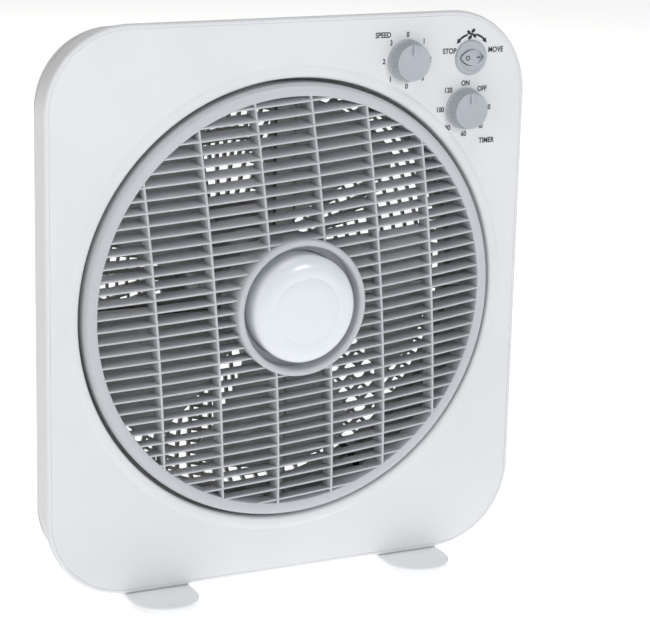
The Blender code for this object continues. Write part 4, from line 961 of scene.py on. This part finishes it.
def flatArrow(centre, startAngle, endAngle):
    # curved band with a pointed head, drawn flat and given the film's thickness
    ready()
    bpy.ops.mesh.primitive_grid_add(x_subdivisions=14, y_subdivisions=1, size=2)
    piece = named("arrow")

    def onArc(co):
        share = (co.x + 1) / 2
        angle = math.radians(startAngle + (endAngle - startAngle) * share)
        neck = 0.70
        half = printing["arrowWidth"] / 2
        if share > neck:
            half = printing["arrowWidth"] * 1.15 * (1 - share) / (1 - neck) + 0.00002
        radius = printing["arrowRadius"] + co.y * half
        return place(centre.x + radius * math.sin(angle), -printing["film"] * 1.5,
                     centre.z + radius * math.cos(angle))

    shape(piece, onArc)
    prints.append(modify(piece, "SOLIDIFY", thickness=printing["film"], offset=0.0))


def fanSign(x, height):
    # small propeller sign: a boss and four blades
    front = -2 * printing["film"]
    rear = -printing["film"]
    prints.append(drum("signBoss", printing["signBoss"], front, rear, x, height, 24))
    lean = Matrix.Rotation(math.radians(printing["signLean"]), 4, "Y")
    lean = lean @ Matrix.Diagonal((0.80, 1, 1.20, 1))
    out = Matrix.Translation((0.0005, 0, printing["signReach"]))
    axis = Matrix.Translation(axisPoint)
    for i in range(4):
        blade = drum("signBlade", printing["signBlade"], front, rear, sides=24)
        turn = Matrix.Rotation(i * math.tau / 4 + printing["signTurn"], 4, "Y") @ out @ lean
        blade.data.transform(Matrix.Translation((x, 0, height)) @ axis @ turn @ axis.inverted())
        prints.append(blade)


dial("speed", ["0", "1", "2", "3", "0", "1", "2", "3"])
dial("timer", ["ON", "OFF", "20", "40", "60", "80", "100", "120"])
for word, (x, height) in printing["words"].items():
    label(word, x, height, printing["word"])
arrowCentre = Vector((rockerCentre.x + 0.0004, 0, rockerCentre.z + 0.0024))
near, far = printing["arrowSpan"]
flatArrow(arrowCentre, near, far)
flatArrow(arrowCentre, -near, -far)
fanSign(rockerCentre.x + 0.0002, rockerCentre.z + printing["signHeight"])
show(merge("panelPrinting", prints), "housing", "black_plastic", printInk)

# the two marks on the rocker tip with it
prints = []
markDepth = -rocker["crown"] - 0.00015
markBack = markDepth + 0.0010
markRing = [(0.0011, markDepth), (0.0017, markDepth), (0.0017, markBack), (0.0011, markBack)]
ringMark = turned("ringMark", markRing, 40, (rockerCentre.x - rocker["markReach"], rockerCentre.z),
                  closed=True)
barMark = brick("barMark", (0.0036, 0.0010, 0.0008),
                place(rockerCentre.x + rocker["markReach"], markDepth + 0.0005, rockerCentre.z))
marks = merge("rockerMarks", [ringMark, barMark])
markMiddle = axisPoint.x + rockerCentre.x
shape(marks, lambda co: co + Vector((0, (co.x - markMiddle) ** 2 / (2 * rocker["bow"]), 0)))
marks.data.transform(rockerTip)
show(marks, "rocker", "black_plastic", printInk)
print("printing made")


foot = {"edge": 0.0014, "segments": 18, "bore": 0.0043, "pivotRecess": 0.0083, "padRecess": 0.0093}


def makeFoot(side):
    low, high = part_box(f"foot_{side}")
    size = high - low
    piece = brick(f"foot{side.title()}", tuple(size), (low + high) / 2)
    edit(piece)
    pick(piece, "edges", lambda edge: abs(edge.verts[0].co.z - edge.verts[1].co.z) > size.z / 2)
    bpy.ops.mesh.bevel(offset=size.x * 0.499, segments=foot["segments"], profile=0.5, affect="EDGES")
    bpy.ops.object.mode_set(mode="OBJECT")
    soften(piece, foot["edge"], 4, 60)
    pivotLow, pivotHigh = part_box(f"foot_pivot_{side}")
    pivot = (pivotLow + pivotHigh) / 2
    cutters = []
    bottom = low.z - 0.01
    for radius, top in ((foot["bore"], high.z + 0.01), (foot["pivotRecess"], low.z + size.z / 2)):
        cutters.append(pillar(f"pivotCutter{len(cutters)}", radius, top - bottom,
                              (pivot.x, pivot.y, (top + bottom) / 2)))
    for end in ("front", "rear"):
        padLow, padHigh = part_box(f"pad_{side}_{end}")
        pad = (padLow + padHigh) / 2
        cutters.append(pillar(f"padCutter{end}", foot["padRecess"], 0.0200,
                              (pad.x, pad.y, padHigh.z + gap - 0.0100)))
    carve(piece, *cutters)
    # the feet take a lighter copy of the body's white: painted light
    show(smooth(piece), f"{side}_foot", "body", footWhite, f"foot_{side}")


def makePad(side, end):
    low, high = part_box(f"pad_{side}_{end}")
    piece = pillar(f"pad{side.title()}{end.title()}", (high.x - low.x) / 2, high.z - low.z,
                   (low + high) / 2)
    edit(piece)
    pick(piece, "faces", lambda face: face.normal.z < -0.99)
    bpy.ops.mesh.bevel(offset=0.0005, segments=3, affect="EDGES")
    for inset in (0.0030, 0.0026):
        # two shallow grip rings
        pick(piece, "faces", lambda face: face.normal.z < -0.99 and len(face.verts) > 8
             and face.calc_center_median().z < low.z + 0.00005)
        bpy.ops.mesh.inset(thickness=inset)
        bpy.ops.mesh.inset(thickness=0.0003, depth=-0.0003)
        bpy.ops.mesh.inset(thickness=0.0004)
        bpy.ops.mesh.inset(thickness=0.0003, depth=0.0003)
    bpy.ops.object.mode_set(mode="OBJECT")
    show(smooth(piece), f"{side}_foot", "pad", padRubber, f"pad_{side}_{end}")


for side in ("left", "right"):
    makeFoot(side)
    for end in ("front", "rear"):
        makePad(side, end)
print("feet made")


screw = {"head": 0.0030, "shank": 0.0015, "headHeight": 0.0020, "slot": 0.0008, "slotLength": 0.0036,
         "slotDepth": 0.0024}


def makeScrew(node):
    # pan head with a crossed slot, seen from behind
    low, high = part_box(node)
    middle = middleOf(node)
    tip = low.y - axisPoint.y
    top = high.y - axisPoint.y
    seat = top - screw["headHeight"]
    crown = [(screw["head"] * math.sin(a), seat + 0.0004 + (screw["headHeight"] - 0.0004) * math.cos(a))
             for a in arc(8, 0, 90)]
    profile = crown + [(screw["head"], seat), (screw["shank"], seat), (screw["shank"], tip + 0.0008),
                       (0.0004, tip), (0.0, tip)]
    piece = turned(f"{node}Piece", profile, 32, (middle.x, middle.z))
    centre = place(middle.x, top, middle.z)
    cross = [brick("slotA", (screw["slotLength"], screw["slotDepth"], screw["slot"]), centre),
             brick("slotB", (screw["slot"], screw["slotDepth"], screw["slotLength"]), centre)]
    carve(piece, *cross)
    show(smooth(piece), "housing", "steel", brightSteel, node)


for kind, count in (("cover", 4), ("support", 4), ("grille", 4), ("motor", 3)):
    for i in range(1, count + 1):
        makeScrew(f"{kind}_screw_{i}")
print("screws made")


def makeGland():
    low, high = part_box("cord_gland")
    middle = middleOf("cord_gland")
    front = low.y - axisPoint.y
    rear = high.y - axisPoint.y
    bore = 0.0037
    flange = rearFace + gap
    # short bell with bending ribs
    profile = [(bore, front), (0.0060, front), (0.0060, flange), (0.0082, flange),
               (0.0082, flange + 0.0016), (0.0076, flange + 0.0024)]
    count = 4
    for i in range(count):
        share = (i + 0.3) / count
        depth = flange + 0.0030 + (rear - flange - 0.0036) * i / count
        radius = 0.0070 - 0.0020 * share
        pitch = (rear - flange - 0.0036) / count
        profile += [(radius, depth), (radius - 0.0001, depth + pitch * 0.5),
                    (radius - 0.0009, depth + pitch * 0.55), (radius - 0.0009, depth + pitch * 0.9)]
    profile += [(0.0050, rear - 0.0006), (0.0045, rear), (bore, rear)]
    show(smooth(turned("glandPiece", profile, 64, (middle.x, middle.z), closed=True)), "housing", "lead",
         leadRubber, "cord_gland")


makeGland()
print("gland made")


stage = {"floorSize": 30.0, "floorGlow": 0.68, "skyLight": 0.23, "backdrop": 1.05}
# place, size, power and colour of each light
lights = {"keyLight": ((0.9, -2.5, 1.25), 0.35, 17, (0.88, 0.94, 1.0)),
          "fillLight": ((-1.9, -1.1, 1.0), 1.6, 8, (1.0, 0.99, 0.97)),
          "topLight": ((-0.2, -0.7, 2.4), 1.2, 10, (0.97, 0.98, 1.0)),
          "rearLight": ((0.7, 2.4, 1.5), 1.8, 9, (1.0, 0.99, 0.97))}


def makeFloor():
    ready()
    bpy.ops.mesh.primitive_plane_add(size=stage["floorSize"], location=(0, 0, 0))
    floor = named("floor")
    paper = bpy.data.materials.new("paleFloor")
    paper.use_nodes = True
    shader = paper.node_tree.nodes["Principled BSDF"]
    shader.inputs["Base Color"].default_value = (0.9, 0.9, 0.9, 1)
    shader.inputs["Roughness"].default_value = 0.9
    shader.inputs["Emission Color"].default_value = (1, 1, 1, 1)
    shader.inputs["Emission Strength"].default_value = stage["floorGlow"]
    floor.data.materials.append(paper)


def areaLight(name, location, size, power, colour):
    data = bpy.data.lights.new(name, "AREA")
    data.shape = "SQUARE"
    data.size = size
    data.energy = power
    data.color = colour
    light = bpy.data.objects.new(name, data)
    light.location = location
    light.rotation_euler = (Vector((0, 0, 0.2)) - Vector(location)).to_track_quat("-Z", "Y").to_euler()
    bpy.context.scene.collection.objects.link(light)


def makeWorld():
    world = bpy.data.worlds.new("studio")
    world.use_nodes = True
    nodes = world.node_tree.nodes
    links = world.node_tree.links
    background = nodes["Background"]
    background.inputs["Color"].default_value = (1.0, 0.99, 0.965, 1)
    background.inputs["Strength"].default_value = stage["skyLight"]
    # the backdrop shows white while the light from it stays soft
    backdrop = nodes.new("ShaderNodeBackground")
    backdrop.inputs["Color"].default_value = (1, 1, 1, 1)
    backdrop.inputs["Strength"].default_value = stage["backdrop"]
    seen = nodes.new("ShaderNodeLightPath")
    blend = nodes.new("ShaderNodeMixShader")
    links.new(seen.outputs["Is Camera Ray"], blend.inputs["Fac"])
    links.new(background.outputs["Background"], blend.inputs[1])
    links.new(backdrop.outputs["Background"], blend.inputs[2])
    links.new(blend.outputs["Shader"], nodes["World Output"].inputs["Surface"])
    bpy.context.scene.world = world


camera = {"location": (-0.68386, -1.44156, 0.41497), "yaw": 26.232, "pitch": 14.886, "roll": 1.356,
          "lens": 129.59}


def makeCamera():
    yaw = math.radians(camera["yaw"])
    pitch = math.radians(camera["pitch"])
    roll = math.radians(camera["roll"])
    level = math.cos(pitch)
    forward = Vector((math.sin(yaw) * level, math.cos(yaw) * level, -math.sin(pitch)))
    right = Vector((math.cos(yaw), -math.sin(yaw), 0))
    up = right.cross(forward)
    sideways = right * math.cos(roll) + up * math.sin(roll)
    upwards = up * math.cos(roll) - right * math.sin(roll)
    data = bpy.data.cameras.new("camera")
    data.lens = camera["lens"]
    data.sensor_width = 36
    data.clip_end = 100
    eyePoint = bpy.data.objects.new("camera", data)
    turn = Matrix((sideways, upwards, -forward)).transposed().to_4x4()
    eyePoint.matrix_world = Matrix.Translation(place(*camera["location"])) @ turn
    bpy.context.scene.collection.objects.link(eyePoint)
    bpy.context.scene.camera = eyePoint


makeFloor()
makeWorld()
for name, (location, size, power, colour) in lights.items():
    areaLight(name, location, size, power, colour)
makeCamera()
bpy.context.scene.view_settings.view_transform = "Standard"
print("floor, light and camera made")
